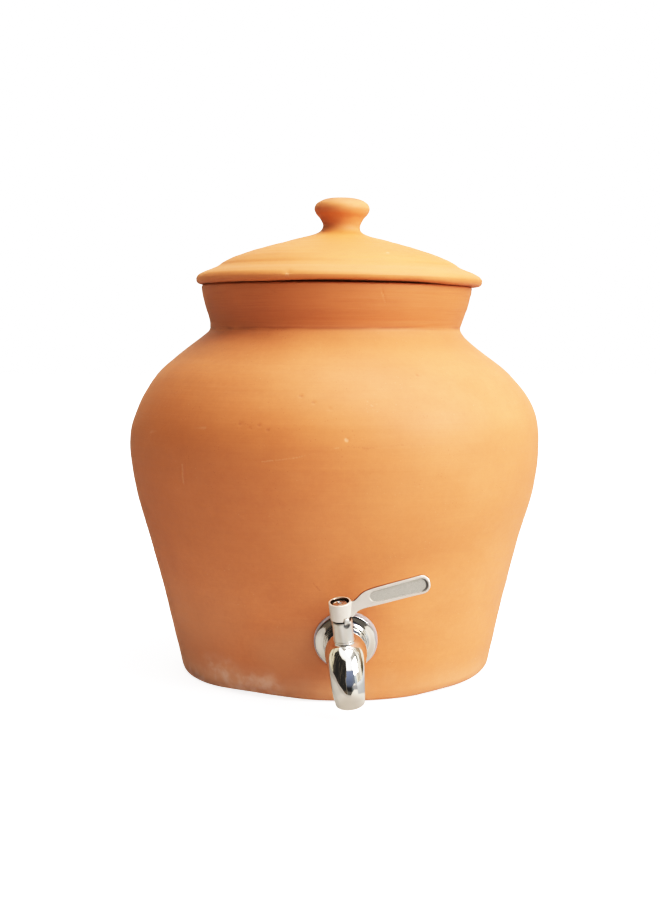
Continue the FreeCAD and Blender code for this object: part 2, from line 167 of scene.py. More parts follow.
def lathe(name, profile, n=160, place=None, sharp=None, closed=False):
    """Turned piece. profile is (radius, height) pairs; a radius of 0 at an end closes it in a point."""
    p = np.asarray(profile, float)
    phi = np.linspace(0, 2 * np.pi, n, endpoint=False)
    pole0, pole1 = p[0, 0] < 1e-6 and not closed, p[-1, 0] < 1e-6 and not closed
    core = p[(1 if pole0 else 0):(len(p) - 1 if pole1 else len(p))]
    x = core[:, 0][:, None] * np.cos(phi)[None, :]
    y = core[:, 0][:, None] * np.sin(phi)[None, :]
    z = np.repeat(core[:, 1][:, None], n, 1)
    v = np.stack([x, y, z], -1).reshape(-1, 3)
    f = ring_faces(len(core), n, closed_rows=closed).tolist()
    if pole0:
        v = np.vstack([v, [[0, 0, p[0, 1]]]])
        k = len(v) - 1
        f += [(k, (j + 1) % n, j) for j in range(n)]
    if pole1:
        v = np.vstack([v, [[0, 0, p[-1, 1]]]])
        k = len(v) - 1
        o = (len(core) - 1) * n
        f += [(k, o + j, o + (j + 1) % n) for j in range(n)]
    if place is not None:
        v = place(v)
    ob = mesh_object(name, v, f)
    outward(ob)
    if sharp is not None:
        ob.data.set_sharp_from_angle(angle=math.radians(sharp))
    return ob


def about_stem(v):
    """Lathe coordinates (axis z) to the stem's axis."""
    return tap_world(np.stack([v[:, 0], v[:, 1] - STEM_O, v[:, 2]], 1))


def about_tap(v):
    """Lathe coordinates to the tap's own axis; height is the distance in front of the wall."""
    return tap_world(np.stack([v[:, 0], -v[:, 2], v[:, 1]], 1))


def fillet_path(points, radii, seg=6):
    """Polyline with its corners rounded; radii per point (0 keeps the corner)."""
    p = [np.asarray(q, float) for q in points]
    out = []
    for k, q in enumerate(p):
        r = radii[k]
        if r <= 0 or k in (0, len(p) - 1):
            out.append(q)
            continue
        a, b = p[k - 1] - q, p[k + 1] - q
        la, lb = np.linalg.norm(a), np.linalg.norm(b)
        a, b = a / la, b / lb
        half = 0.5 * math.acos(float(np.clip(a @ b, -1, 1)))
        d = min(r / math.tan(half), 0.49 * la, 0.49 * lb)
        r = d * math.tan(half)
        s, e = q + a * d, q + b * d
        c = q + (a + b) / np.linalg.norm(a + b) * (r / math.sin(half))
        va, vb = s - c, e - c
        ang = math.acos(float(np.clip(va @ vb / (np.linalg.norm(va) * np.linalg.norm(vb)), -1, 1)))
        for t in np.linspace(0, 1, seg + 1):
            if ang < 1e-5:
                out.append(s)
                continue
            out.append(c + (math.sin((1 - t) * ang) * va + math.sin(t * ang) * vb) / math.sin(ang))
    return np.array(out)


def finish_piece(ob, body, slot, material, *nodes):
    ob.data.materials.clear()
    ob.data.materials.append(material)
    if nodes:
        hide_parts(*nodes)
    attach(ob, body)
    return ob


# ---------------------------------------------------------------- shader helpers
class Graph:
    def __init__(self, name):
        self.mat = bpy.data.materials.new(name)
        self.mat.use_nodes = True
        self.tree = self.mat.node_tree
        self.tree.nodes.clear()
        self.out = self.tree.nodes.new("ShaderNodeOutputMaterial")
        self.shader = self.tree.nodes.new("ShaderNodeBsdfPrincipled")
        self.tree.links.new(self.shader.outputs[0], self.out.inputs[0])
        co = self.tree.nodes.new("ShaderNodeTexCoord")
        self.mm = self.vec("SCALE", co.outputs["Object"], scale=1000.0)

    def link(self, a, b):
        self.tree.links.new(a, b)

    def put(self, socket, value):
        if isinstance(value, bpy.types.NodeSocket):
            self.link(value, socket)
        elif value is not None:
            socket.default_value = value

    def math(self, op, a, b=None, c=None, clamp=False):
        n = self.tree.nodes.new("ShaderNodeMath")
        n.operation = op
        n.use_clamp = clamp
        for s, v in zip(n.inputs, (a, b, c)):
            self.put(s, v)
        return n.outputs[0]

    def vec(self, op, a, b=None, scale=None):
        n = self.tree.nodes.new("ShaderNodeVectorMath")
        n.operation = op
        self.put(n.inputs[0], a)
        if b is not None:
            self.put(n.inputs[1], b)
        if scale is not None:
            self.put(n.inputs["Scale"], scale)
        return n.outputs["Value"] if op in ("LENGTH", "DOT_PRODUCT", "DISTANCE") else n.outputs["Vector"]

    def noise(self, vector, scale, detail=4.0, rough=0.55, distort=0.0):
        n = self.tree.nodes.new("ShaderNodeTexNoise")
        self.put(n.inputs["Vector"], vector)
        n.inputs["Scale"].default_value = scale
        n.inputs["Detail"].default_value = detail
        n.inputs["Roughness"].default_value = rough
        n.inputs["Distortion"].default_value = distort
        return n.outputs["Fac"]

    def voronoi(self, vector, scale, feature="F1"):
        n = self.tree.nodes.new("ShaderNodeTexVoronoi")
        n.feature = feature
        self.put(n.inputs["Vector"], vector)
        n.inputs["Scale"].default_value = scale
        return n.outputs["Distance"]

    def ramp(self, value, a, b, lo=0.0, hi=1.0, smooth=True):
        n = self.tree.nodes.new("ShaderNodeMapRange")
        n.interpolation_type = "SMOOTHSTEP" if smooth else "LINEAR"
        self.put(n.inputs["Value"], value)
        for k, v in zip(("From Min", "From Max", "To Min", "To Max"), (a, b, lo, hi)):
            n.inputs[k].default_value = v
        return n.outputs["Result"]

    def mix(self, fac, a, b, blend="MIX"):
        n = self.tree.nodes.new("ShaderNodeMix")
        n.data_type = "RGBA"
        n.blend_type = blend
        n.clamp_factor = True
        self.put(n.inputs["Factor"], fac)
        for s, v in zip((n.inputs[6], n.inputs[7]), (a, b)):
            if isinstance(v, (tuple, list)) and len(v) == 3:
                v = (*v, 1.0)
            self.put(s, v)
        return n.outputs[2]

    def stretch(self, sx, sy, sz):
        return self.vec("MULTIPLY", self.mm, (sx, sy, sz))

    def capsule(self, a, b, r0, r1, wobble=None):
        """1 on the line from a to b (millimetres), fading out between r0 and r1 from it."""
        a, b = Vector([float(v) for v in a]), Vector([float(v) for v in b])
        d = b - a
        pa = self.vec("SUBTRACT", self.mm, tuple(a))
        if d.length < 1e-6:
            dist = self.vec("LENGTH", pa)
        else:
            h = self.math("MULTIPLY", self.vec("DOT_PRODUCT", pa, tuple(d / d.length_squared)), 1.0, clamp=True)
            back = self.vec("SCALE", tuple(d), scale=h)
            dist = self.vec("LENGTH", self.vec("SUBTRACT", pa, back))
        if wobble is not None:
            dist = self.math("ADD", dist, wobble)
        return self.ramp(dist, r0, r1, 1.0, 0.0)

    def comp(self, vector, i):
        n = self.tree.nodes.new("ShaderNodeSeparateXYZ")
        self.link(vector, n.inputs[0])
        return n.outputs[i]

    def most(self, masks):
        out = masks[0]
        for m in masks[1:]:
            out = self.math("MAXIMUM", out, m)
        return out

    def bump(self, height, strength, distance, normal=None):
        n = self.tree.nodes.new("ShaderNodeBump")
        n.inputs["Strength"].default_value = strength
        n.inputs["Distance"].default_value = distance
        self.put(n.inputs["Height"], height)
        if normal is not None:
            self.put(n.inputs["Normal"], normal)
        return n.outputs["Normal"]


# ================================================================ clay sections
BODY_OUT = [(9.0, 107.4), (14.0, 108.4), (22.0, 110.2), (35.0, 112.9),
            (50.0, 116.3), (65.0, 120.0), (80.0, 123.8), (95.0, 127.9),
            (110.0, 132.3), (122.0, 135.5), (132.0, 137.6), (140.0, 139.0),
            (148.0, 140.0), (155.5, 140.4), (164.0, 140.0), (172.0, 138.5),
            (180.0, 135.8), (188.0, 131.9), (196.0, 126.6), (204.0, 120.2),
            (209.6, 114.2), (216.4, 105.6), (223.2, 96.9), (228.6, 90.3),
            (232.7, 86.75)]
NECK_OUT = [(236.2, 86.35), (238.8, 86.8), (242.9, 88.1), (247.0, 89.5), (251.0, 90.65),
            (255.1, 91.6), (259.2, 92.4), (262.0, 92.7)]
BODY_IN = [(19.2, 101.4), (27.4, 103.2), (44.3, 106.7), (61.1, 110.8),
           (77.8, 115.0), (94.5, 119.5), (111.1, 124.3), (127.1, 128.4),
           (143.4, 131.4), (159.0, 132.4), (173.6, 129.7), (187.1, 123.0),
           (199.4, 113.5), (209.8, 101.0), (220.5, 87.7), (229.0, 80.2),
           (236.0, 78.2), (245.0, 80.2), (255.0, 83.6), (261.6, 85.2)]
RIM_Z, RIM_TILT = 263.2, math.radians(0.6)
LID_SHIFT = 3.4


def r_out(z):
    p = np.array(BODY_OUT + [(234.7, 86.2)] + NECK_OUT)
    return np.interp(z, p[:, 0], p[:, 1])


def on_wall(theta_deg, z, lift=0.0):
    """Point on the pot's outer wall. theta is 0 towards -Y and grows towards +X."""
    t = math.radians(theta_deg)
    r = float(r_out(z)) + lift
    return (r * math.sin(t), -r * math.cos(t), z)


def soft_limit(v, top, k=0.12):
    """v, turned off smoothly just under top."""
    return top - k * np.logaddexp(0.0, (top - v) / k)


def soft_table(z, rows, sigma=3.5):
    """Smoothed reading of a table of (z, value) rows."""
    grid = np.arange(-30.0, 300.0, 0.5)
    v = np.interp(grid, *zip(*rows))
    k = np.exp(-0.5 * (np.arange(-30, 31) * 0.5 / sigma) ** 2)
    return np.interp(z, grid, np.convolve(np.pad(v, 30, mode="edge"), k / k.sum(), "valid"))


def theta_columns(front_deg, n_front, n_back):
    """Angles in turns, closer together over the front."""
    f = front_deg / 360.0
    a = np.linspace(-f, f, n_front, endpoint=False)
    b = np.linspace(f, 1 - f, n_back, endpoint=False)
    return np.concatenate([a, b])


# ================================================================ pot body
def build_pot():
    turns = theta_columns(70, 440, 300)
    nc = len(turns)
    th = turns * 2 * np.pi
    step = 0.85
    under = np.stack([np.zeros(16), np.linspace(1.5, 97.0, 16)], 1)
    wall = catmull(BODY_OUT, step)
    wall = smooth_run(wall, 2.5)
    crease = catmull([tuple(wall[-1]), (233.9, 86.28), (234.7, 86.1), (235.4, 86.22), NECK_OUT[0]], 0.45)
    neck = smooth_run(catmull(NECK_OUT, 0.8), 1.2)
    heel = catmull([(0.0, 97.0), (0.5, 101.0), (2.2, 104.2), (5.2, 106.3), tuple(wall[0])], 0.9)
    tight = catmull([(0.0, 101.2), (0.25, 103.6), (1.4, 105.2), (4.4, 106.5), tuple(wall[0])], 0.9)
    k = np.linspace(0, 1, 18)
    heel = np.stack([np.interp(k, np.linspace(0, 1, len(heel)), heel[:, c]) for c in (0, 1)], 1)
    tight = np.stack([np.interp(k, np.linspace(0, 1, len(tight)), tight[:, c]) for c in (0, 1)], 1)
    rim = catmull([tuple(neck[-1]), (263.0, 92.0), (263.35, 90.6), (263.4, 89.0), (263.3, 87.4), (262.8, 86.1),
                   (261.6, 85.2)], 0.7)
    inner = smooth_run(catmull(BODY_IN[::-1], 2.2), 1.6)
    floor_in = catmull([BODY_IN[0], (13.5, 99.2), (10.7, 95.5), (10.0, 91.0)], 1.6)
    floor = np.stack([np.full(26, 10.0), np.linspace(91.0, 2.0, 26)], 1)
    runs = [under, heel[1:], wall[1:], crease[1:], neck[1:], rim[1:], inner[1:], floor_in[1:], floor[1:]]
    kind = np.concatenate([[n] * len(r) for n, r in enumerate(runs)])
    sec = np.vstack(runs)                                  # (z, r)
    nr = len(sec)
    Z = np.repeat(sec[:, 0][:, None], nc, 1)
    R = np.repeat(sec[:, 1][:, None], nc, 1)
    T = np.repeat(th[None, :], nr, 0)
    U = np.repeat(turns[None, :], nr, 0)
    # the heel is sharper on the left and rounder on the right
    rows = np.where(kind == 1)[0]
    deg = np.degrees((T + np.pi) % (2 * np.pi) - np.pi)
    w = smoothstep(0.1, 0.9, 0.5 - 0.5 * np.sin(T[rows]) + 0.18 * lattice_noise(U[rows], Z[rows] * 0, 9, 5)
                   + 0.72 * np.exp(-((deg[rows] - 15.0) / 27.0) ** 2))
    Z[rows] = (1 - w) * heel[1:, 0][:, None] + w * tight[1:, 0][:, None]
    R[rows] = (1 - w) * heel[1:, 1][:, None] + w * tight[1:, 1][:, None]
    # outward normal of the section
    dz = np.gradient(sec[:, 0])
    dr = np.gradient(sec[:, 1])
    ln = np.hypot(dz, dr) + 1e-9
    nr_, nz_ = (dz / ln)[:, None], (-dr / ln)[:, None]
    is_in = (kind >= 6)
    s = np.concatenate([[0], np.cumsum(np.hypot(np.diff(sec[:, 0]), np.diff(sec[:, 1])))])
    S = np.repeat(s[:, None], nc, 1)
    spiral = S + 3.4 * U
    # throwing: broad unevenness, finger rings, fine turning ridges
    d = 0.30 * lattice_noise(U, S / 34.0, 5, 11) + 0.13 * lattice_noise(U, spiral / 11.0, 4, 12)
    d = d * (1.0 - 0.75 * np.exp(-((Z - 156.0) / 16.0) ** 2)) - 0.10 * np.exp(-((Z - 156.0) / 12.0) ** 2)
    rings = 0.075 * lattice_noise(U, spiral / 4.2, 6, 13) + 0.035 * lattice_noise(U, spiral / 2.1, 9, 14)
    patch = 0.55 + 0.45 * lattice_noise(U, S / 26.0, 7, 15)
    d_out = d + rings * patch
    # neck: turned more coarsely
    is_neck = smoothstep(234.0, 237.0, Z)
    d_out = d_out * (1 - 0.6 * is_neck) + is_neck * (0.11 * lattice_noise(U, spiral / 3.0, 3, 21)
                                                      + 0.05 * lattice_noise(U, spiral / 1.6, 5, 22))
    # ridge of clay smeared along the crease
    m = np.exp(-((Z - 236.6 - 1.0 * lattice_noise(U, Z * 0, 11, 31)) / 0.9) ** 2)
    d_out += m * 0.28 * np.clip(lattice_noise(U, Z * 0 + 3.0, 17, 32) + 0.25, 0, 1) * (kind[:, None] >= 3)
    m = np.exp(-((Z - 233.0) / 0.8) ** 2)
    d_out += m * 0.14 * lattice_noise(U, Z * 0 + 7.0, 23, 33)
    # heel: nicks and flat spots
    m = np.exp(-((Z - 1.5) / 2.4) ** 2)
    d_out += -m * 0.28 * np.clip(lattice_noise(U, Z / 3.0, 41, 41), 0, 1) ** 2

    def arc_mm(t_deg, z):
        dt = (T - math.radians(t_deg) + np.pi) % (2 * np.pi) - np.pi
        return dt * R, Z - z

    def dent(t_deg, z, rx, rz, depth, turn=0.0):
        nonlocal d_out
        a, b = arc_mm(t_deg, z)
        c_, s_ = math.cos(turn), math.sin(turn)
        a, b = a * c_ + b * s_, -a * s_ + b * c_
        d_out = d_out - depth * np.exp(-(a / rx) ** 2 - (b / rz) ** 2)

    for (t_, z_, rx, rz, dep) in ((-24.7, 177.0, 1.3, 0.9, 0.35), (-22.0, 174.6, 1.0, 0.8, 0.25), (-19.5, 176.6, 1.2, 0.8, 0.30),
                                  (-17.0, 173.9, 1.1, 0.9, 0.28), (-9.4, 194.0, 1.3, 0.9, 0.30), (-5.8, 190.2, 1.2, 0.9, 0.28),
                                  (-1.7, 186.5, 1.2, 0.8, 0.26), (25.4, 205.9, 1.1, 0.9, 0.35), (2.8, 168.5, 1.1, 1.1, 0.30),
                                  (-42.6, 146.0, 0.9, 3.6, 0.30), (-42.8, 139.5, 0.8, 2.4, 0.25),
                                  (120.0, 150.0, 1.4, 1.0, 0.35), (168.0, 98.0, 1.2, 0.9, 0.3), (-140.0, 120.0, 1.3, 1.1, 0.35),
                                  (-96.0, 60.0, 1.2, 1.0, 0.3), (75.0, 200.0, 1.3, 0.9, 0.3), (-160.0, 205.0, 1.4, 1.0, 0.3)):
        dent(t_, z_, rx, rz, dep)
    # the neck's long scratch and the curved one
    dent(-26.0, 258.8, 0.55, 6.4, 0.22, turn=-0.78)
    dent(18.2, 255.6, 0.6, 5.2, 0.18, turn=0.35)
    dent(-36.0, 253.7, 1.6, 0.6, 0.2)
    # thumb-soft flats low on the wall
    dent(-31.0, 16.0, 16.0, 7.0, 0.28)
    dent(44.0, 12.0, 14.0, 6.0, 0.25)
    # keep to the true section round the tap
    tap_xyz = TAP_0
    X0, Y0 = R * np.sin(T), -R * np.cos(T)
    dist = np.sqrt((X0 - tap_xyz[0]) ** 2 + (Y0 - tap_xyz[1]) ** 2 + (Z - tap_xyz[2]) ** 2)
    quiet = smoothstep(20.0, 34.0, dist)
    d_out = d_out * quiet
    d_in = 0.35 * lattice_noise(U, S / 24.0, 4, 51) + 0.42 * lattice_noise(U, (S + 9.0 * U) / 8.5, 3, 52) \
        + 0.10 * lattice_noise(U, (S + 9.0 * U) / 3.6, 5, 53)
    d_in = d_in * quiet
    fade_in = (kind >= 6)[:, None] * smoothstep(0.0, 12.0, S - s[np.where(kind == 6)[0][0]])
    flat_under = (kind == 0)[:, None]
    disp = np.where(is_in[:, None], -0.0 + d_in * fade_in, d_out)
    disp = np.where(flat_under, 0.0, disp)
    sign = np.where(is_in, 1.0, 1.0)[:, None]
    R2 = R + nr_ * disp * sign
    Z2 = Z + nz_ * disp * sign
    # the ring of clay that meets the table stays flat
    Z2 = np.where((kind <= 1)[:, None], np.maximum(Z2, 0.0), Z2)
    # at the front left the foot is worn and stands a little off the table
    high = np.exp(-((deg + 31.0) / np.where(deg < -31.0, 19.0, 20.0)) ** 2)
    Z2 = Z2 + 2.2 * high * smoothstep(84.0, 104.0, R) * (1.0 - smoothstep(3.0, 9.0, Z))
    # out of round, and never wider than the section allows
    calm = smoothstep(20, 60, Z) * (1.0 - 0.85 * np.exp(-((Z - 156.0) / 17.0) ** 2))
    oor = 1.0 + 0.0022 * np.cos(2 * T + 0.6) * calm + 0.0012 * np.cos(3 * T - 1.1) * calm
    R2 = R2 * np.where(quiet > 0.999, oor, 1 + (oor - 1) * quiet)
    R2 = np.where(is_in[:, None], R2, soft_limit(R2, 140.42))
    X = R2 * np.sin(T)
    Y = -R2 * np.cos(T)
    # the shoulder leans a little to the left, the neck a little to the right; the lower wall is a touch wider across
    wide = soft_table(Z, [(0, 0.3), (35, 0.25), (50, 0.75), (62, 0.9), (112, 0.85), (130, 0.4), (143, 0.3), (155, 0.0),
                          (168, 0.45), (180, 0.6), (195, 0.45), (205, 0.3), (216, 0.0)], 5.0)
    lean = soft_table(Z, [(0, 0.7), (5, 0.7), (12, 0.45), (30, 0.55), (45, 0.55), (61, 0.35), (90, 0.3), (126, 0.5), (140, 0.4),
                          (155, 0.0), (168, 0.4), (176, 0.95), (185, 1.2), (192, 1.05), (200, 0.15), (208, -0.6), (217, -1.5),
                          (226, -1.5), (231, -0.3), (236, 1.3), (240, 1.7), (245, 1.95), (264, 1.9)], 2.6)
    X = X * (1 + wide / np.maximum(R2, 60.0)) + lean
    X = np.sign(X) * soft_limit(np.abs(X), 140.40)
    # rim tilt
    top = smoothstep(250.0, 262.0, Z)
    Z2 = Z2 - top * np.tan(RIM_TILT) * X
    verts = np.stack([X, Y, Z2], -1).reshape(-1, 3)
    faces = ring_faces(nr, nc)
    # hole for the shank
    local = (verts - TAP_0) @ TAP_M
    rho = np.hypot(local[:, 0], local[:, 2])
    inside = (rho < 8.6) & (np.abs(local[:, 1]) < 25.0)
    keep = ~inside[faces].any(1)
    faces = faces[keep]
    poles = [[0.0, 0.0, 0.0], [0.0, 0.0, 10.0]]
    n0 = len(verts)
    verts = np.vstack([verts, poles])
    tris = [(n0, (j + 1) % nc, j) for j in range(nc)]
    last = (nr - 1) * nc
    tris += [(n0 + 1, last + j, last + (j + 1) % nc) for j in range(nc)]
    ob = mesh_object("clay_pot", verts, faces.tolist() + tris)
    bm = bmesh.new()
    bm.from_mesh(ob.data)
    loose = [v for v in bm.verts if not v.link_faces]
    bmesh.ops.delete(bm, geom=loose, context="VERTS")
    edges = [e for e in bm.edges if e.is_boundary]
    for v in {v for e in edges for v in e.verts}:
        q = (np.array(v.co) / MM - TAP_0) @ TAP_M
        f = 8.6 / math.hypot(q[0], q[2])
        v.co = Vector(tap_world([q[0] * f, q[1], q[2] * f]) * MM)
    bmesh.ops.bridge_loops(bm, edges=edges)
    bmesh.ops.recalc_face_normals(bm, faces=bm.faces)
    bm.to_mesh(ob.data)
    bm.free()
    ob.data.polygons.foreach_set("use_smooth", [True] * len(ob.data.polygons))
    ob.data.update()
    return ob


# ================================================================ lid
LID_OUT = [(267.3, 97.7), (268.6, 97.3), (270.0, 96.2), (271.3, 94.2),
           (272.7, 91.5), (274.1, 87.6), (275.5, 84.3), (276.8, 81.9),
           (278.2, 80.2), (281.0, 75.0), (283.7, 68.6), (286.5, 60.5),
           (289.2, 51.5), (292.0, 41.7), (294.8, 31.5), (296.7, 23.8),
           (298.3, 18.2), (299.8, 14.9), (301.6, 13.2), (304.3, 12.57),
           (307.0, 13.5), (309.7, 15.2), (312.4, 17.6), (315.8, 18.9),
           (319.2, 17.5), (321.9, 13.0), (323.2, 7.4), (323.5, 1.2)]


def build_lid():
    turns = theta_columns(95, 420, 200)
    nc = len(turns)
    th = turns * 2 * np.pi
    top = smooth_run(catmull(LID_OUT, 0.8), 1.0)
    edge = catmull([(263.55, 94.4), (264.0, 96.2), (265.2, 97.3), tuple(top[0])], 0.5)
    under = catmull([(260.5, 78.8), (262.4, 79.2), (263.3, 80.4), (263.55, 82.5), (263.55, 88.0), (263.55, 94.4)], 1.0)
    ring = catmull([(266.0, 73.0), (259.0, 73.0), (253.2, 73.1), (251.9, 74.0), (251.5, 75.8), (252.0, 77.6), (253.4, 78.4),
                    (260.5, 78.8)], 0.9)
    hollow = smooth_run(catmull([(288.4, 1.2), (287.9, 18.0), (286.2, 34.0), (283.0, 48.0), (279.2, 60.0), (275.6, 67.6),
                                 (271.6, 71.8), (266.0, 73.0)], 1.6), 1.2)
    runs = [hollow, ring[1:], under[1:], edge[1:], top[1:]]
    kind = np.concatenate([[n] * len(r) for n, r in enumerate(runs)])
    sec = np.vstack(runs)
    nr = len(sec)
    Z = np.repeat(sec[:, 0][:, None], nc, 1)
    R = np.repeat(sec[:, 1][:, None], nc, 1)
    T = np.repeat(th[None, :], nr, 0)
    U = np.repeat(turns[None, :], nr, 0)
    dz, dr = np.gradient(sec[:, 0]), np.gradient(sec[:, 1])
    ln = np.hypot(dz, dr) + 1e-9
    # the section runs outward under the lid and back inward on top, so its outward normal is (dz, -dr)
    nr_, nz_ = (dz / ln)[:, None], (-dr / ln)[:, None]
    s = np.concatenate([[0], np.cumsum(np.hypot(np.diff(sec[:, 0]), np.diff(sec[:, 1])))])
    S = np.repeat(s[:, None], nc, 1)
    on_top = (kind >= 4)[:, None].astype(float)
    d = 0.16 * lattice_noise(U, S / 14.0, 5, 61) + 0.09 * lattice_noise(U, (S + 2.6 * U) / 3.4, 4, 62) \
        + 0.04 * lattice_noise(U, (S + 2.6 * U) / 1.7, 8, 63)
    small = smoothstep(4.0, 26.0, R)
    d = d * (0.35 + 0.65 * small)
    bead = smoothstep(95.0, 97.3, R)
    d += bead * (0.22 * lattice_noise(U, Z * 0, 13, 64) + 0.12 * lattice_noise(U, Z * 0 + 5.0, 31, 65))

    def dent(t_deg, r_, rt, rr, depth):
        nonlocal d
        dt = ((T - math.radians(t_deg) + np.pi) % (2 * np.pi) - np.pi) * R
        d = d - on_top * depth * np.exp(-(dt / rt) ** 2 - ((R - r_) / rr) ** 2)

    dent(-19.5, 96.6, 2.6, 1.6, 0.55)
    dent(25.4, 71.4, 1.2, 1.0, 0.3)
    dent(-40.0, 50.0, 1.3, 1.0, 0.25)
    dent(120.0, 60.0, 1.4, 1.0, 0.3)
    dent(200.0, 90.0, 2.2, 1.3, 0.4)
    R2, Z2 = R + nr_ * d, Z + nz_ * d
    # along the front the bead stands clear of the rim and leaves a dark slit
    deg = np.degrees((T + np.pi) % (2 * np.pi) - np.pi)
    clear = smoothstep(-34.0, -10.0, deg) * (1 - smoothstep(28.0, 54.0, deg)) + 0.22 * smoothstep(-62.0, -40.0, deg) \
        * (1 - smoothstep(-34.0, -10.0, deg))
    clear = clear * (1.0 + 0.22 * lattice_noise(U, Z * 0 + 9.0, 19, 66))
    low = (1 - smoothstep(265.3, 268.6, Z)) * ((kind == 2) | (kind == 3) | (kind == 4))[:, None]
    Z2 = Z2 + 1.15 * clear * low * smoothstep(84.0, 91.0, R)
    Z2 = np.minimum(Z2, 323.55)
    # knob a little off the lid's centre, rim slightly out of round
    up = smoothstep(296.0, 306.0, Z)
    R2 = R2 * (1 + 0.003 * np.cos(2 * T + 0.4) * smoothstep(30, 80, R) + 0.02 * np.cos(2 * T - 0.5) * up
               + 0.003 * smoothstep(60, 90, R) + 0.024 * up)
    X = R2 * np.sin(T) + 1.5 * up
    Y = -R2 * np.cos(T)
    # lid tilt about the rim's centre
    c, q = math.cos(RIM_TILT), math.sin(RIM_TILT)
    zc = Z2 - RIM_Z
    Xt = X * c + zc * q + LID_SHIFT
    Zt = -X * q + zc * c + RIM_Z
    verts = np.stack([Xt, Y, Zt], -1)
    verts = verts.reshape(-1, 3)
    faces = ring_faces(nr, nc).tolist()
    n0 = len(verts)
    a = verts[:nc].mean(0)
    b = verts[(nr - 1) * nc:].mean(0)
    b[2] += 0.02
    verts = np.vstack([verts, a, b])
    faces += [(n0, (j + 1) % nc, j) for j in range(nc)]
    last = (nr - 1) * nc
    faces += [(n0 + 1, last + j, last + (j + 1) % nc) for j in range(nc)]
    ob = mesh_object("clay_lid", verts, faces)
    return outward(ob)


# ================================================================ tap pieces
BEND_O, BEND_R = 20.0, 17.0


def tube_centre(s):
    """Centre and direction angle of the tap body's path at arc length s from 4.2 mm in front of the wall."""
    straight = BEND_O - 4.2
    if s <= straight:
        return 4.2 + s, 0.0, 0.0
    a = (s - straight) / BEND_R
    if a <= math.pi / 2:
        return BEND_O + BEND_R * math.sin(a), -BEND_R * (1 - math.cos(a)), a
    e = s - straight - BEND_R * math.pi / 2
    return BEND_O + BEND_R, -BEND_R - e, math.pi / 2


TUBE_R = [(0.0, 12.35), (2.8, 12.75), (6.8, 13.05), (11.8, 13.05), (15.8, 12.7), (19.95, 12.15), (24.1, 11.6),
          (28.26, 11.15), (32.4, 10.75), (37.2, 10.3), (41.9, 9.75), (44.9, 9.35), (48.5, 8.9)]


def build_tap_body():
    n = 160
    phi = np.linspace(0, 2 * np.pi, n, endpoint=False)
    rr = smooth_run(catmull(TUBE_R, 0.4), 4.0)
    rows = []

    def row(o, z, a, r):
        # circle across the path: side is local x, up is turned by the bend
        up = np.array([0.0, -math.sin(a), math.cos(a)])
        side = np.array([1.0, 0.0, 0.0])
        c = np.array([0.0, -o, z])
        rows.append(c + r * (np.cos(phi)[:, None] * side + np.sin(phi)[:, None] * up))

    row(4.2, 0, 0, 8.05)
    row(4.2, 0, 0, 12.1)
    for s_, r_ in rr:
        if s_ <= 48.1:
            o, z, a = tube_centre(s_)
            row(o, z, a, r_ if s_ > 0.3 else r_ - 0.08)
    # lip of the outlet
    for dz_, r_ in ((-22.7, 8.92), (-22.88, 8.83), (-22.98, 8.67), (-23.0, 8.45), (-23.0, 7.4), (-22.94, 7.1), (-22.75, 6.92),
                    (-22.4, 6.9), (-18.0, 6.9), (-14.0, 6.9), (-11.8, 6.9)):
        row(37.0, dz_, math.pi / 2, r_)
    inner = [(37.0, -11.8, 90.0, 6.9), (36.1, -7.2, 76.0, 6.3), (33.6, -2.9, 48.0, 5.0), (31.2, -0.35, 20.0, 4.1),
             (30.2, 0.0, 0.0, 3.7)]
    ii = np.array(inner)
    t = np.linspace(0, 4, 33)[1:]
    for tt in t:
        q = [np.interp(tt, np.arange(5), ii[:, c]) for c in range(4)]
        row(q[0], q[1], math.radians(q[2]), q[3])
    for o, r_ in ((30.2, 7.55), (30.15, 7.6), (14.6, 7.6), (14.55, 8.05)):
        row(o, 0, 0, r_)
    v = np.concatenate(rows)
    f = ring_faces(len(rows), n, closed_rows=True)
    # boss that carries the bonnet: a short turned collar with a filleted skirt
    core = len(v)
    nb = 96
    ph = np.linspace(0, 2 * np.pi, nb, endpoint=False)
    prof = [(3.0, 5.0), (7.3, 5.0), (6.75, 9.3), (6.45, 10.2), (6.3, 10.8), (6.26, 11.3), (6.22, 11.5), (6.1, 11.6), (3.0, 11.6)]
    bv = np.concatenate([np.stack([r_ * np.cos(ph), -STEM_O + r_ * np.sin(ph), np.full(nb, z_)], 1) for r_, z_ in prof])
    bf = ring_faces(len(prof), nb, closed_rows=True) + core
    ob = mesh_object("tap_casting", tap_world(np.vstack([v, bv])), np.vstack([f, bf]))
    outward(ob)
    ob.data.set_sharp_from_angle(angle=math.radians(40))
    return ob


def build_flange():
    prof = fillet_path([(8.1, 1.62), (18.6, 1.62), (18.82, 1.85), (18.82, 2.3)], [0, 0.1, 0.15, 0])
    dish = catmull([(18.82, 2.3), (18.62, 2.66), (17.9, 2.92), (16.8, 3.10), (15.5, 3.27), (14.45, 3.48)], 0.15)
    collar = catmull([(14.45, 3.48), (13.98, 3.85), (13.72, 4.5), (13.45, 5.1), (13.1, 5.33), (12.75, 5.1), (12.62, 4.6)], 0.12)
    tail = np.array([(12.6, 4.2), (8.1, 4.2)])
    p = np.vstack([prof, dish[1:], collar[1:], tail])
    return lathe("tap_flange", p, n=200, place=about_tap, sharp=38, closed=True)


def wall_depth(x, z):
    """Local y of the pot's outer wall at local x, z of the tap (found along the tap's axis)."""
    y = np.full(np.shape(x), 0.0)
    for _ in range(12):
        p = tap_world(np.stack([x, y, z], -1))
        gap = np.hypot(p[..., 0], p[..., 1]) - r_out(p[..., 2])
        y = y + gap
    return y


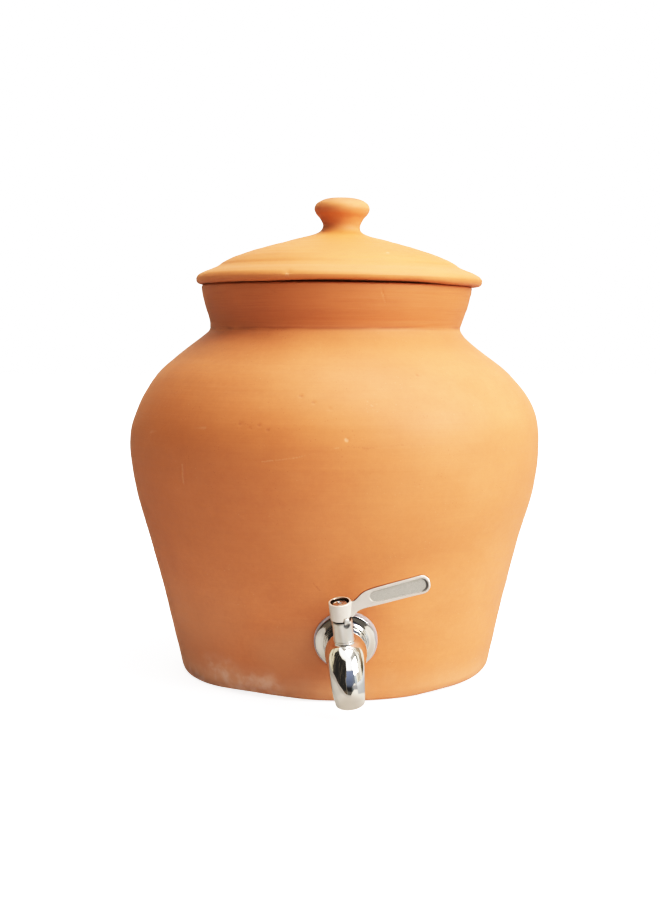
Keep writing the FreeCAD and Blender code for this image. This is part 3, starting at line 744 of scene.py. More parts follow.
def build_outer_washer():
    n = 200
    ph = np.linspace(0, 2 * np.pi, n, endpoint=False)
    rows = []

    def ringrow(r, depth):
        x, z = r * np.cos(ph), r * np.sin(ph)
        y = wall_depth(x, z) if depth is None else np.full(n, depth)
        rows.append(np.stack([x, y, z], 1))

    # depth is local y: negative is in front of the wall
    ringrow(8.3, -1.6)
    ringrow(18.4, -1.6)
    ringrow(19.2, -1.58)
    ringrow(19.5, -1.5)
    ringrow(19.66, -1.34)
    ringrow(19.7, -1.1)
    x, z = 19.7 * np.cos(ph), 19.7 * np.sin(ph)
    yw = wall_depth(x, z)
    for t in (0.33, 0.66, 0.92):
        rows.append(np.stack([x, -1.1 + (yw + 1.1) * t, z], 1))
    ringrow(19.6, None)
    for r in (17.0, 14.0, 11.0, 8.3):
        ringrow(r, None)
    v = tap_world(np.concatenate(rows))
    ob = mesh_object("soft_washer", v, ring_faces(len(rows), n, closed_rows=True))
    outward(ob)
    return ob


def build_bonnet():
    prof = fillet_path([(3.56, 9.7), (3.56, 25.3), (5.75, 25.3), (6.2, 24.95), (6.2, 22.9), (6.08, 22.6), (6.08, 13.0),
                        (6.2, 12.7), (6.2, 11.62), (5.4, 11.62), (5.4, 9.7)],
                       [0, 0.15, 0.2, 0.25, 0.12, 0.12, 0.12, 0.12, 0.12, 0, 0])
    ob = lathe("tap_bonnet", prof, n=120, place=about_stem, sharp=50, closed=True)
    # round-bottomed pocket behind and below the stop lug
    am = math.radians(-61.0)
    across = np.array([-math.sin(am), math.cos(am), 0.0])
    away = np.array([math.cos(am), math.sin(am), 0.0])
    ring0 = []
    for t in np.linspace(0, 2 * np.pi, 48, endpoint=False):
        ring0.append(across * 2.4 * math.cos(t) + np.array([0, 0, 1.0]) * 1.35 * math.sin(t))
    c0 = np.array([0.0, -STEM_O, 23.72])
    v = [tap_world(c0 + q + away * 5.35) for q in ring0] + [tap_world(c0 + q + away * 8.0) for q in ring0]
    f = [tuple(range(48)), tuple(range(95, 47, -1))] + [(i, (i + 1) % 48, 48 + (i + 1) % 48, 48 + i) for i in range(48)]
    boolean(ob, outward(mesh_object("pocket", np.array(v), f)), "DIFFERENCE")
    # stop lug on the collar
    a0, a1 = math.radians(-75.0), math.radians(-47.0)
    rows = []
    for r, z0, z1 in ((5.0, 24.35, 28.2), (6.62, 24.35, 28.2), (6.83, 24.75, 27.9)):
        rows.append((r, z0, z1))
    bm = bmesh.new()
    na = 10
    grid = []
    for i in range(na + 1):
        t = i / na
        a = a0 + (a1 - a0) * t
        e = 1 - (2 * t - 1) ** 6          # rounded ends
        for (r, z0, z1) in rows:
            zz0, zz1 = z0 + (1 - e) * 0.7, z1 - (1 - e) * 0.5
            for z_ in (zz0, zz1):
                q = tap_world([r * math.cos(a), -STEM_O + r * math.sin(a), z_]) * MM
                grid.append(bm.verts.new(q))
    k = len(rows) * 2
    for i in range(na):
        g0, g1 = grid[i * k:(i + 1) * k], grid[(i + 1) * k:(i + 2) * k]
        loop = [0, 2, 4, 5, 3, 1]
        for m in range(6):
            a, b = loop[m], loop[(m + 1) % 6]
            bm.faces.new((g0[a], g0[b], g1[b], g1[a]))
    bm.faces.new([grid[m] for m in (0, 2, 4, 5, 3, 1)])
    bm.faces.new([grid[na * k + m] for m in (1, 3, 5, 4, 2, 0)])
    bmesh.ops.recalc_face_normals(bm, faces=bm.faces)
    bm.from_mesh(ob.data)
    bm.to_mesh(ob.data)
    bm.free()
    ob.data.polygons.foreach_set("use_smooth", [True] * len(ob.data.polygons))
    ob.data.set_sharp_from_angle(angle=math.radians(50))
    return ob


def boolean(target, cutter, op):
    m = target.modifiers.new("cut", "BOOLEAN")
    m.operation = op
    m.solver = "EXACT"
    m.object = cutter
    apply_modifiers(target)
    bpy.data.objects.remove(cutter)


def apply_modifiers(ob):
    dg = bpy.context.evaluated_depsgraph_get()
    dg.update()
    me = bpy.data.meshes.new_from_object(ob.evaluated_get(dg))
    ob.modifiers.clear()
    old = ob.data
    ob.data = me
    bpy.data.meshes.remove(old)


LEAN = math.radians(20.0)
FACE_N = np.array([0.0, -math.cos(LEAN), math.sin(LEAN)])
FACE_V = np.array([0.0, math.sin(LEAN), math.cos(LEAN)])
FACE_0 = np.array([0.0, -24.0, 36.0])


def face_point(x, v, d=0.0):
    return FACE_0 + np.array([x, 0, 0]) + FACE_V * v + FACE_N * d


def blade_outline():
    tip, tr = (49.4, 7.1), 5.15
    td, bd = math.radians(12.0), math.radians(9.2)
    top = [(3.0, 0.2), (6.6, 1.0), (9.8, 2.6), (12.1, 4.2), (15.8, 6.1), (19.4, 7.15), (24.7, 8.15), (33.6, 9.65), (42.4, 11.1),
           (tip[0] - tr * math.sin(td), tip[1] + tr * math.cos(td))]
    bot = [(tip[0] + tr * math.sin(bd), tip[1] - tr * math.cos(bd)), (41.4, 0.75), (32.6, -0.6), (26.0, -1.65), (19.4, -2.6),
           (15.0, -3.2), (11.4, -4.1), (9.1, -5.5), (7.3, -7.6), (3.0, -8.2)]
    a = smooth_run(catmull(top, 0.5), 2.0)
    c = smooth_run(catmull(bot, 0.5), 2.0)
    ang = np.linspace(math.pi / 2 + td, -math.pi / 2 + bd, 26)[1:-1]
    arc = np.stack([tip[0] + tr * np.cos(ang), tip[1] + tr * np.sin(ang)], 1)
    return np.vstack([a, arc, c])


def panel_outline(grow=0.0):
    pl, rl, pr, rr = (21.2, 2.85), 3.15 + grow, (49.4, 7.1), 3.95 + grow
    ang = math.atan2(pr[1] - pl[1], pr[0] - pl[0])
    dist = math.hypot(pr[0] - pl[0], pr[1] - pl[1])
    sp = math.asin((rr - rl) / dist)
    a = np.linspace(ang + math.pi / 2 + sp, ang - math.pi / 2 - sp, 40)
    b = np.linspace(ang - math.pi / 2 - sp, ang - 3 * math.pi / 2 + sp, 32)
    return np.vstack([np.stack([pr[0] + rr * np.cos(a), pr[1] + rr * np.sin(a)], 1),
                      np.stack([pl[0] + rl * np.cos(b), pl[1] + rl * np.sin(b)], 1)])


def prism(name, outline, d0, d1):
    """Solid between two offsets from the blade's face."""
    n = len(outline)
    v = [face_point(x, y, d0) for x, y in outline] + [face_point(x, y, d1) for x, y in outline]
    f = [tuple(range(n)), tuple(range(2 * n - 1, n - 1, -1))]
    f += [(i, (i + 1) % n, n + (i + 1) % n, n + i) for i in range(n)]
    ob = mesh_object(name, tap_world(np.array(v)), f)
    return outward(ob)


def even_loop(pts, n):
    """Closed outline walked in n equal steps."""
    q = np.vstack([pts, pts[:1]])
    step = np.linalg.norm(np.diff(q, axis=0), axis=1)
    s_ = np.concatenate([[0.0], np.cumsum(step)])
    t = np.linspace(0, s_[-1], n, endpoint=False)
    return np.stack([np.interp(t, s_, q[:, 0]), np.interp(t, s_, q[:, 1])], 1)


def rounded_blade(name):
    """The blade before its panel is sunk: its front edge is rolled over, most of all along the top."""
    out = even_loop(blade_outline(), 170)
    tangent = np.roll(out, -1, 0) - np.roll(out, 1, 0)
    tangent /= np.linalg.norm(tangent, axis=1)[:, None]
    nrm = np.stack([-tangent[:, 1], tangent[:, 0]], 1)
    if ((out - out.mean(0)) * nrm).sum(1).mean() < 0:
        nrm = -nrm
    up = smoothstep(0.1, 0.85, nrm[:, 1])
    out = out + nrm * (0.12 + 0.78 * up * smoothstep(8.0, 16.0, out[:, 0]))[:, None]
    roll = 0.55 + 0.60 * up
    roll = np.where(out[:, 0] < 8.0, 0.55, roll)
    n = len(out)
    rows = []
    for a in np.radians(np.linspace(0, 90, 9)):
        q = out - nrm * (roll * (1 - math.sin(a)))[:, None]
        rows.append([face_point(x, y, -r_ * (1 - math.cos(a))) for (x, y), r_ in zip(q, roll)])
    for a in np.radians(np.linspace(90, 0, 6)):
        q = out - nrm * (0.5 * (1 - math.sin(a)))
        rows.append([face_point(x, y, -3.0 + 0.5 * (1 - math.cos(a))) for x, y in q])
    f = ring_faces(len(rows), n).tolist()
    f.append(tuple(range(n)))
    f.append(tuple(range(len(rows) * n - 1, (len(rows) - 1) * n - 1, -1)))
    ob = mesh_object(name, tap_world(np.concatenate([np.array(r) for r in rows])), f)
    return outward(ob)


def build_lever():
    hub_prof = fillet_path([(0.0, 26.7), (6.75, 26.7), (6.75, 37.5), (0.0, 37.5)], [0, 0.3, 0.4, 0], seg=5)
    hub = lathe("tap_lever", hub_prof, n=128, place=about_stem)
    blade = rounded_blade("blade")
    boolean(hub, blade, "UNION")
    cut = lathe("c1", [(0.0, 33.2), (5.6, 33.2), (5.6, 45.0), (0.0, 45.0)], n=128, place=about_stem)
    boolean(hub, cut, "DIFFERENCE")
    cut = prism("c2", panel_outline(), 2.0, -0.6)
    boolean(hub, cut, "DIFFERENCE")
    # square-sided bore for the stem
    pts = []
    for a in np.linspace(0, 2 * np.pi, 64, endpoint=False):
        x, y = 3.54 * math.cos(a), 3.54 * math.sin(a)
        y = max(-2.64, min(2.64, y))
        pts.append((x, y))
    v = [tap_world([x, y - STEM_O, 20.0]) for x, y in pts] + [tap_world([x, y - STEM_O, 34.5]) for x, y in pts]
    n = len(pts)
    f = [tuple(range(n)), tuple(range(2 * n - 1, n - 1, -1))] + [(i, (i + 1) % n, n + (i + 1) % n, n + i) for i in range(n)]
    cut = outward(mesh_object("c3", np.array(v), f))
    boolean(hub, cut, "DIFFERENCE")
    # relief that clears the stop lug
    angs = np.radians(np.linspace(-79.5, 54.0, 26))
    ring = [(4.95 * math.cos(a), 4.95 * math.sin(a)) for a in angs] + [(7.6 * math.cos(a), 7.6 * math.sin(a)) for a in angs[::-1]]
    n = len(ring)
    v = [tap_world([x, y - STEM_O, 24.0]) for x, y in ring] + [tap_world([x, y - STEM_O, 28.7]) for x, y in ring]
    f = [tuple(range(n)), tuple(range(2 * n - 1, n - 1, -1))] + [(i, (i + 1) % n, n + (i + 1) % n, n + i) for i in range(n)]
    cut = outward(mesh_object("c4", np.array(v), f))
    boolean(hub, cut, "DIFFERENCE")
    rm = hub.modifiers.new("cast", "REMESH")
    rm.mode = "VOXEL"
    rm.voxel_size = 0.15 * MM
    rm.use_smooth_shade = True
    sm = hub.modifiers.new("soften", "SMOOTH")
    sm.factor = 0.5
    sm.iterations = 3
    apply_modifiers(hub)
    hub.data.polygons.foreach_set("use_smooth", [True] * len(hub.data.polygons))
    return hub


def build_screw():
    prof = [(0.0, 36.82)]
    for r in np.linspace(0.25, 4.15, 20):
        prof.append((r, 36.82 - 0.55 * (r / 4.15) ** 2.2))
    prof += [(4.32, 36.05), (4.4, 35.75), (4.38, 34.3), (4.3, 34.05), (2.0, 34.05), (1.6, 34.0), (1.6, 23.9), (1.2, 23.5), (0.0, 23.5)]
    head = lathe("cross_screw", prof, n=96, place=about_stem)
    for k in (0, 1):
        a = math.radians(25 + 90 * k)
        c, s = math.cos(a), math.sin(a)
        pts = []
        for z, hx, hy in ((37.4, 2.3, 0.56), (35.4, 1.2, 0.34)):
            for sx, sy in ((1, 1), (-1, 1), (-1, -1), (1, -1)):
                x, y = sx * hx, sy * hy
                pts.append(tap_world([x * c - y * s, x * s + y * c - STEM_O, z]))
        f = [(0, 1, 2, 3), (7, 6, 5, 4)] + [(i, 4 + i, 4 + (i + 1) % 4, (i + 1) % 4) for i in range(4)]
        cut = outward(mesh_object("cx", np.array(pts), f))
        boolean(head, cut, "DIFFERENCE")
    head.data.polygons.foreach_set("use_smooth", [True] * len(head.data.polygons))
    head.data.set_sharp_from_angle(angle=math.radians(40))
    return head


def build_dust_ring():
    prof = fillet_path([(3.64, 25.33), (5.84, 25.33), (5.84, 26.33), (3.64, 26.33)], [0, 0.25, 0.35, 0])
    return lathe("dust_seal", prof, n=120, place=about_stem, closed=True)


def build_shank():
    """Tube with a real helical thread of 1.5 mm pitch."""
    n = 72
    ph = np.linspace(0, 2 * np.pi, n, endpoint=False)
    pitch = 1.5
    ys = np.arange(-13.9, 26.0001, pitch / 8)
    rows = []
    for y in ys:
        t = (y / pitch - ph / (2 * np.pi)) % 1.0
        tri = 1 - np.abs(2 * t - 1)
        tri = np.clip((tri - 0.12) / 0.70, 0, 1)
        r = 7.15 + 0.83 * tri
        end = min(1.0, (26.0 - y) / 1.0, (y + 14.0) / 0.8)
        r = np.minimum(r, 7.1 + 0.9 * max(0.0, end))
        if -13.2 < y < -11.9:
            r = np.full(n, 6.9)
        rows.append(np.stack([r * np.cos(ph), np.full(n, y), r * np.sin(ph)], 1))
    for y, r in ((26.0, 6.6), (26.0, 5.5), (25.8, 5.15), (25.4, 5.0), (10.0, 5.0), (-14.0, 5.0), (-14.0, 7.0)):
        rows.append(np.stack([r * np.cos(ph), np.full(n, y), r * np.sin(ph)], 1))
    ob = mesh_object("threaded_shank", tap_world(np.concatenate(rows)), ring_faces(len(rows), n, closed_rows=True))
    outward(ob)
    ob.data.set_sharp_from_angle(angle=math.radians(50))
    return ob


def build_nut():
    """Hexagon nut with turned corners and countersunk mouths."""
    af = 22.0
    n = 120
    ph = np.linspace(0, 2 * np.pi, n, endpoint=False)
    sector_ = (ph + math.pi / 6) % (math.pi / 3) - math.pi / 6
    rh = (af / 2) / np.cos(sector_)
    rh = np.minimum(rh, 12.62)
    rows = []
    for y, cap, inner in ((13.7, 10.9, None), (13.78, 11.15, None), (14.3, 12.2, None), (14.75, 12.9, None), (18.65, 12.9, None),
                          (19.1, 12.2, None), (19.62, 11.15, None), (19.7, 10.9, None), (19.7, None, 8.9), (19.0, None, 8.06),
                          (16.0, None, 8.06), (14.4, None, 8.06), (13.7, None, 8.9)):
        r = np.minimum(rh, cap) if cap else np.full(n, inner)
        rows.append(np.stack([r * np.cos(ph), np.full(n, y), r * np.sin(ph)], 1))
    ob = mesh_object("hex_nut", tap_world(np.concatenate(rows)), ring_faces(len(rows), n, closed_rows=True))
    outward(ob)
    ob.data.set_sharp_from_angle(angle=math.radians(22))
    return ob


# ================================================================ materials
def clay_material(name, lid=False):
    g = Graph(name)
    mm = g.mm
    z = g.tree.nodes.new("ShaderNodeSeparateXYZ")
    g.link(mm, z.inputs[0])
    zz = z.outputs[2]
    mottle = g.noise(mm, 0.016, 5.0, 0.6)
    cloud = g.noise(g.stretch(1, 1, 2.2), 0.045, 4.0, 0.6)
    streak = g.noise(g.stretch(0.012, 0.012, 0.42), 1.0, 5.0, 0.62)
    fine = g.noise(g.stretch(0.03, 0.03, 1.9), 1.0, 4.0, 0.6)
    grain = g.noise(mm, 1.5, 3.0, 0.6)
    deep = (0.443, 0.150, 0.0507)
    mid = (0.469, 0.167, 0.0583)
    pale = (0.500, 0.187, 0.0693)
    if lid:
        deep, mid, pale = (0.493, 0.171, 0.0460), (0.521, 0.190, 0.0534), (0.554, 0.212, 0.0635)
    col = g.mix(g.ramp(mottle, 0.30, 0.72), deep, pale)
    col = g.mix(0.5, col, mid)
    col = g.mix(g.math("MULTIPLY", g.ramp(cloud, 0.45, 0.75), 0.30), col, pale)
    tone = g.math("ADD", g.ramp(streak, 0.25, 0.75, 0.982, 1.018), g.ramp(fine, 0.25, 0.75, -0.013, 0.013))
    tone = g.math("ADD", tone, g.ramp(g.noise(mm, 0.30, 3.0, 0.6), 0.28, 0.72, -0.026, 0.026))
    blot = g.noise(g.vec("ADD", g.stretch(1, 1, 1.5), (40.0, 11.0, 90.0)), 0.024, 5.0, 0.62, 0.4)
    tone = g.math("ADD", tone, g.ramp(blot, 0.30, 0.70, -0.035, 0.035))
    tone = g.math("ADD", tone, g.ramp(grain, 0.2, 0.8, -0.035, 0.035))
    shade = g.tree.nodes.new("ShaderNodeVectorMath")
    shade.operation = "SCALE"
    g.link(col, shade.inputs[0])
    g.link(tone, shade.inputs["Scale"])
    col = shade.outputs[0]
    # grog: small dark and pale specks
    speck = g.voronoi(mm, 0.42)
    keep = g.math("MULTIPLY", g.ramp(g.noise(mm, 0.075, 3.0), 0.50, 0.62), g.ramp(zz, 60.0, 150.0, 0.25, 1.0))
    dark_spots = g.math("MULTIPLY", g.ramp(speck, 0.10, 0.17, 1.0, 0.0), keep)
    speck2 = g.voronoi(g.vec("ADD", mm, (31.0, 7.0, 13.0)), 0.36)
    keep2 = g.ramp(g.noise(g.vec("ADD", mm, (5.0, 51.0, 3.0)), 0.08, 3.0), 0.52, 0.66)
    pale_spots = g.math("MULTIPLY", g.ramp(speck2, 0.08, 0.15, 1.0, 0.0), keep2)
    col = g.mix(g.math("MULTIPLY", dark_spots, 0.36), col, (0.17, 0.055, 0.022))
    col = g.mix(g.math("MULTIPLY", pale_spots, 0.26), col, (0.62, 0.34, 0.19))
    wob = g.ramp(g.noise(mm, 0.9, 2.0), 0.3, 0.7, -0.28, 0.28)
    if not lid:
        # the neck is redder and darker, and the crease darker still
        neck = g.ramp(zz, 232.0, 238.0)
        col = g.mix(g.math("MULTIPLY", neck, 0.68), col, (0.366, 0.110, 0.0285))
        brush = g.noise(g.stretch(0.030, 0.030, 1.6), 1.0, 4.0, 0.7)
        col = g.mix(g.math("MULTIPLY", neck, g.ramp(brush, 0.50, 0.76, 0.0, 0.26)), col, (0.24, 0.066, 0.020))
        col = g.mix(g.math("MULTIPLY", neck, g.ramp(brush, 0.48, 0.24, 0.0, 0.22)), col, (0.50, 0.19, 0.070))
        # painted shade: a dark, broken line along the crease at the neck's foot
        crease = g.ramp(g.math("ABSOLUTE", g.math("SUBTRACT", zz, 234.6)), 0.2, 1.7, 1.0, 0.0)
        crease = g.math("MULTIPLY", crease, g.ramp(g.noise(g.stretch(0.05, 0.05, 0.5), 1.0, 3.0), 0.34, 0.62, 0.10, 0.44))
        col = g.mix(crease, col, (0.20, 0.055, 0.018))
        # the wall's middle is browner all round, and more so towards the left: painted shade on the unlit side
        band = g.math("MULTIPLY", g.ramp(zz, 62.0, 108.0), g.ramp(zz, 206.0, 168.0))
        side = g.ramp(g.comp(mm, 0), 30.0, -135.0, 0.40, 1.0)
        col = g.mix(g.math("MULTIPLY", g.math("MULTIPLY", band, side), 0.42), col, (0.345, 0.112, 0.0270))
        # and it is paler low on the left
        low_left = g.math("MULTIPLY", g.ramp(zz, 84.0, 34.0), g.ramp(g.comp(mm, 0), -35.0, -108.0))
        col = g.mix(g.math("MULTIPLY", low_left, 0.50), col, (0.515, 0.240, 0.112))
        # painted light: a paler patch that lifts the tap's shadow on the wall below and left of it
        painted_light_beside_tap = g.capsule(on_wall(-8.0, 35.0), on_wall(-19.0, 29.0), 4.0, 27.0)
        col = g.mix(g.math("MULTIPLY", painted_light_beside_tap, 0.42), col, (0.485, 0.232, 0.110))
        # drying marks at the foot
        foot = g.math("MULTIPLY", g.ramp(zz, 1.0, 27.0, 1.0, 0.0), g.ramp(g.noise(mm, 0.035, 4.0), 0.30, 0.66, 0.45, 1.0))
        foot = g.math("MULTIPLY", foot, g.ramp(g.comp(mm, 0), -30.0, 30.0, 1.12, 0.48))
        col = g.mix(g.math("MULTIPLY", foot, 0.70), col, (0.60, 0.325, 0.185))
        bloom_at = [g.capsule(w0, w1, 2.0, r_) for w0, w1, r_ in (
            (on_wall(-47.0, 11.0), on_wall(-40.0, 13.0), 17.0), (on_wall(-36.0, 7.0), on_wall(-23.0, 8.0), 15.0),
            (on_wall(-62.0, 6.0), on_wall(-50.0, 7.0), 12.0))]
        bloom = g.math("MULTIPLY", g.most(bloom_at), g.ramp(g.noise(mm, 0.06, 4.0, 0.55), 0.42, 0.66, 0.15, 1.0))
        col = g.mix(g.math("MULTIPLY", bloom, 0.62), col, (0.64, 0.42, 0.31))
        heel = g.ramp(zz, 0.2, 3.2, 1.0, 0.0)
        col = g.mix(g.math("MULTIPLY", heel, 0.08), col, (0.33, 0.13, 0.06))

        def w(t, z_):
            return on_wall(t, z_)
        dark = [g.capsule(w(-24.7, 177.0), w(-24.7, 177.0), 0.3, 1.5, wob), g.capsule(w(-19.5, 176.6), w(-19.2, 176.4), 0.2, 1.2, wob),
                g.capsule(w(-17.0, 173.9), w(-16.6, 173.8), 0.2, 1.2, wob), g.capsule(w(-9.4, 194.0), w(-9.0, 193.8), 0.2, 1.2, wob),
                g.capsule(w(-5.8, 190.2), w(-5.4, 190.2), 0.2, 1.1, wob), g.capsule(w(25.4, 205.9), w(25.5, 205.7), 0.3, 1.3, wob),
                g.capsule(w(-29.5, 261.7), w(-22.7, 255.9), 0.0, 0.85, wob), g.capsule(w(-6.1, 79.6), w(-4.2, 75.2), 0.0, 0.8, wob)]
        col = g.mix(g.math("MULTIPLY", g.most(dark), 0.30), col, (0.19, 0.062, 0.024))
        lite = [g.capsule(w(2.8, 168.5), w(3.0, 168.3), 0.4, 1.5, wob), g.capsule(w(8.6, 190.5), w(8.9, 190.1), 0.0, 0.9, wob),
                g.capsule(w(9.6, 188.4), w(9.8, 188.0), 0.0, 0.8, wob), g.capsule(w(10.9, 189.3), w(11.0, 189.1), 0.0, 0.7, wob),
                g.capsule(w(16.7, 260.2), w(19.2, 255.6), 0.0, 0.8, wob), g.capsule(w(19.2, 255.6), w(20.5, 251.0), 0.0, 0.9, wob),
                g.capsule(w(-36.4, 253.9), w(-35.2, 253.5), 0.2, 1.1, wob)]
        col = g.mix(g.math("MULTIPLY", g.most(lite), 0.36), col, (0.66, 0.37, 0.21))
        thin = [g.capsule(w(-58.0, 168.4), w(-35.1, 173.8), 0.0, 1.6, wob), g.capsule(w(-42.5, 150.1), w(-42.8, 138.7), 0.2, 1.2, wob),
                g.capsule(w(-18.0, 155.0), w(-9.7, 157.7), 0.0, 0.7, wob), g.capsule(w(-9.7, 157.7), w(1.0, 164.0), 0.0, 0.7, wob)]
        col = g.mix(g.math("MULTIPLY", g.most(thin), 0.20), col, (0.60, 0.32, 0.17))
        # a fine crack where two coils of clay met
        crack = [g.capsule(w(3.2, 164.6), w(8.0, 163.4), 0.0, 0.75, wob), g.capsule(w(8.0, 163.4), w(17.0, 165.2), 0.0, 0.80, wob),
                 g.capsule(w(17.0, 165.2), w(27.5, 168.0), 0.0, 0.65, wob)]
        col = g.mix(g.math("MULTIPLY", g.most(crack), 0.34), col, (0.23, 0.075, 0.028))
    else:
        # painted highlight: a paler band across the flange's flat top next to the dome
        cx = g.vec("SUBTRACT", mm, (LID_SHIFT, 0.0, 0.0))
        flat = g.vec("MULTIPLY", cx, (1.0, 1.0, 0.0))
        rad = g.vec("LENGTH", flat)
        band = g.math("MULTIPLY", g.ramp(rad, 83.0, 90.0), g.ramp(zz, 266.0, 268.0))
        col = g.mix(g.math("MULTIPLY", band, 0.22), col, (0.52, 0.235, 0.105))
        # painted shade on the lid's underside and on the ring hanging into the neck
        under = g.ramp(zz, 264.4, 267.0, 1.0, 0.0)
        col = g.mix(g.math("MULTIPLY", under, 0.4), col, (0.27, 0.085, 0.028))
        # painted shade along the step where the flange meets the dome
        step = g.ramp(g.math("ABSOLUTE", g.math("SUBTRACT", rad, 81.5)), 0.3, 1.8, 1.0, 0.0)
        col = g.mix(g.math("MULTIPLY", step, 0.11), col, (0.30, 0.10, 0.03))
        # the knob was handled most: duller, a little browner on its crown
        knob = g.ramp(zz, 298.0, 306.0)
        col = g.mix(g.math("MULTIPLY", knob, 0.50), col, (0.50, 0.205, 0.088))
        crown = g.math("MULTIPLY", g.ramp(zz, 318.0, 323.0), g.ramp(g.noise(mm, 0.09, 3.0), 0.35, 0.65, 0.15, 0.60))
        col = g.mix(crown, col, (0.30, 0.115, 0.050))
        # painted shade on the lower, downward-facing part of the bead
        lip = g.math("MULTIPLY", g.ramp(rad, 92.6, 95.4), g.ramp(zz, 265.4, 271.0, 1.0, 0.0))
        col = g.mix(g.math("MULTIPLY", lip, 0.40), col, (0.35, 0.110, 0.034))
        chip = g.capsule((-29.6, -91.4, 267.8), (-28.4, -91.8, 267.7), 0.3, 1.5, wob)
        mark = g.capsule((33.7, -63.0, 282.5), (34.6, -62.6, 282.5), 0.2, 1.3, wob)
        col = g.mix(g.math("MULTIPLY", g.most([chip, mark]), 0.45), col, (0.70, 0.40, 0.24))
    g.link(col, g.shader.inputs["Base Color"])
    rough = g.math("ADD", g.ramp(streak, 0.2, 0.8, 0.58, 0.63), g.ramp(grain, 0.2, 0.8, -0.04, 0.04))
    g.link(rough, g.shader.inputs["Roughness"])
    g.shader.inputs["Specular IOR Level"].default_value = 0.36
    # turning lines, grain and pits
    lines = g.noise(g.stretch(0.010, 0.010, 0.95), 1.0, 4.0, 0.68)
    n1 = g.bump(lines, 0.10 if not lid else 0.10, 0.0006)
    n2 = g.bump(grain, 0.14, 0.0003, n1)
    pits = g.math("MULTIPLY", g.math("MAXIMUM", dark_spots, pale_spots), -1.0)
    n3 = g.bump(pits, 0.22, 0.0003, n2)
    g.link(n3, g.shader.inputs["Normal"])
    return g.mat


def steel_material(name, base, rough_lo, rough_hi, bump, scratch=True, cloud_scale=0.12):
    g = Graph(name)
    mm = g.mm
    cloud = g.noise(mm, cloud_scale, 4.0, 0.6)
    micro = g.noise(mm, 5.5, 3.0, 0.6)
    tint = g.mix(g.ramp(cloud, 0.3, 0.75), tuple(v * 0.955 for v in base), base)
    if scratch:
        fine = g.noise(g.stretch(7.0, 0.5, 0.9), 1.0, 3.0, 0.6)
        scr = g.ramp(fine, 0.62, 0.74)
        tint = g.mix(g.math("MULTIPLY", scr, 0.10), tint, tuple(v * 0.7 for v in base))
        rough = g.math("ADD", g.ramp(cloud, 0.25, 0.8, rough_lo, rough_hi), g.math("MULTIPLY", scr, 0.06))
    else:
        rough = g.math("ADD", g.ramp(cloud, 0.25, 0.8, rough_lo, rough_hi), g.ramp(micro, 0.3, 0.7, -0.04, 0.04))
    g.link(tint, g.shader.inputs["Base Color"])
    g.link(rough, g.shader.inputs["Roughness"])
    g.shader.inputs["Metallic"].default_value = 1.0
    n = g.bump(g.noise(mm, 0.22 if scratch else 3.2, 3.0), bump, 0.0002 if not scratch else 0.0008)
    n = g.bump(micro, bump * 0.5, 0.00008, n)
    g.link(n, g.shader.inputs["Normal"])
    return g.mat


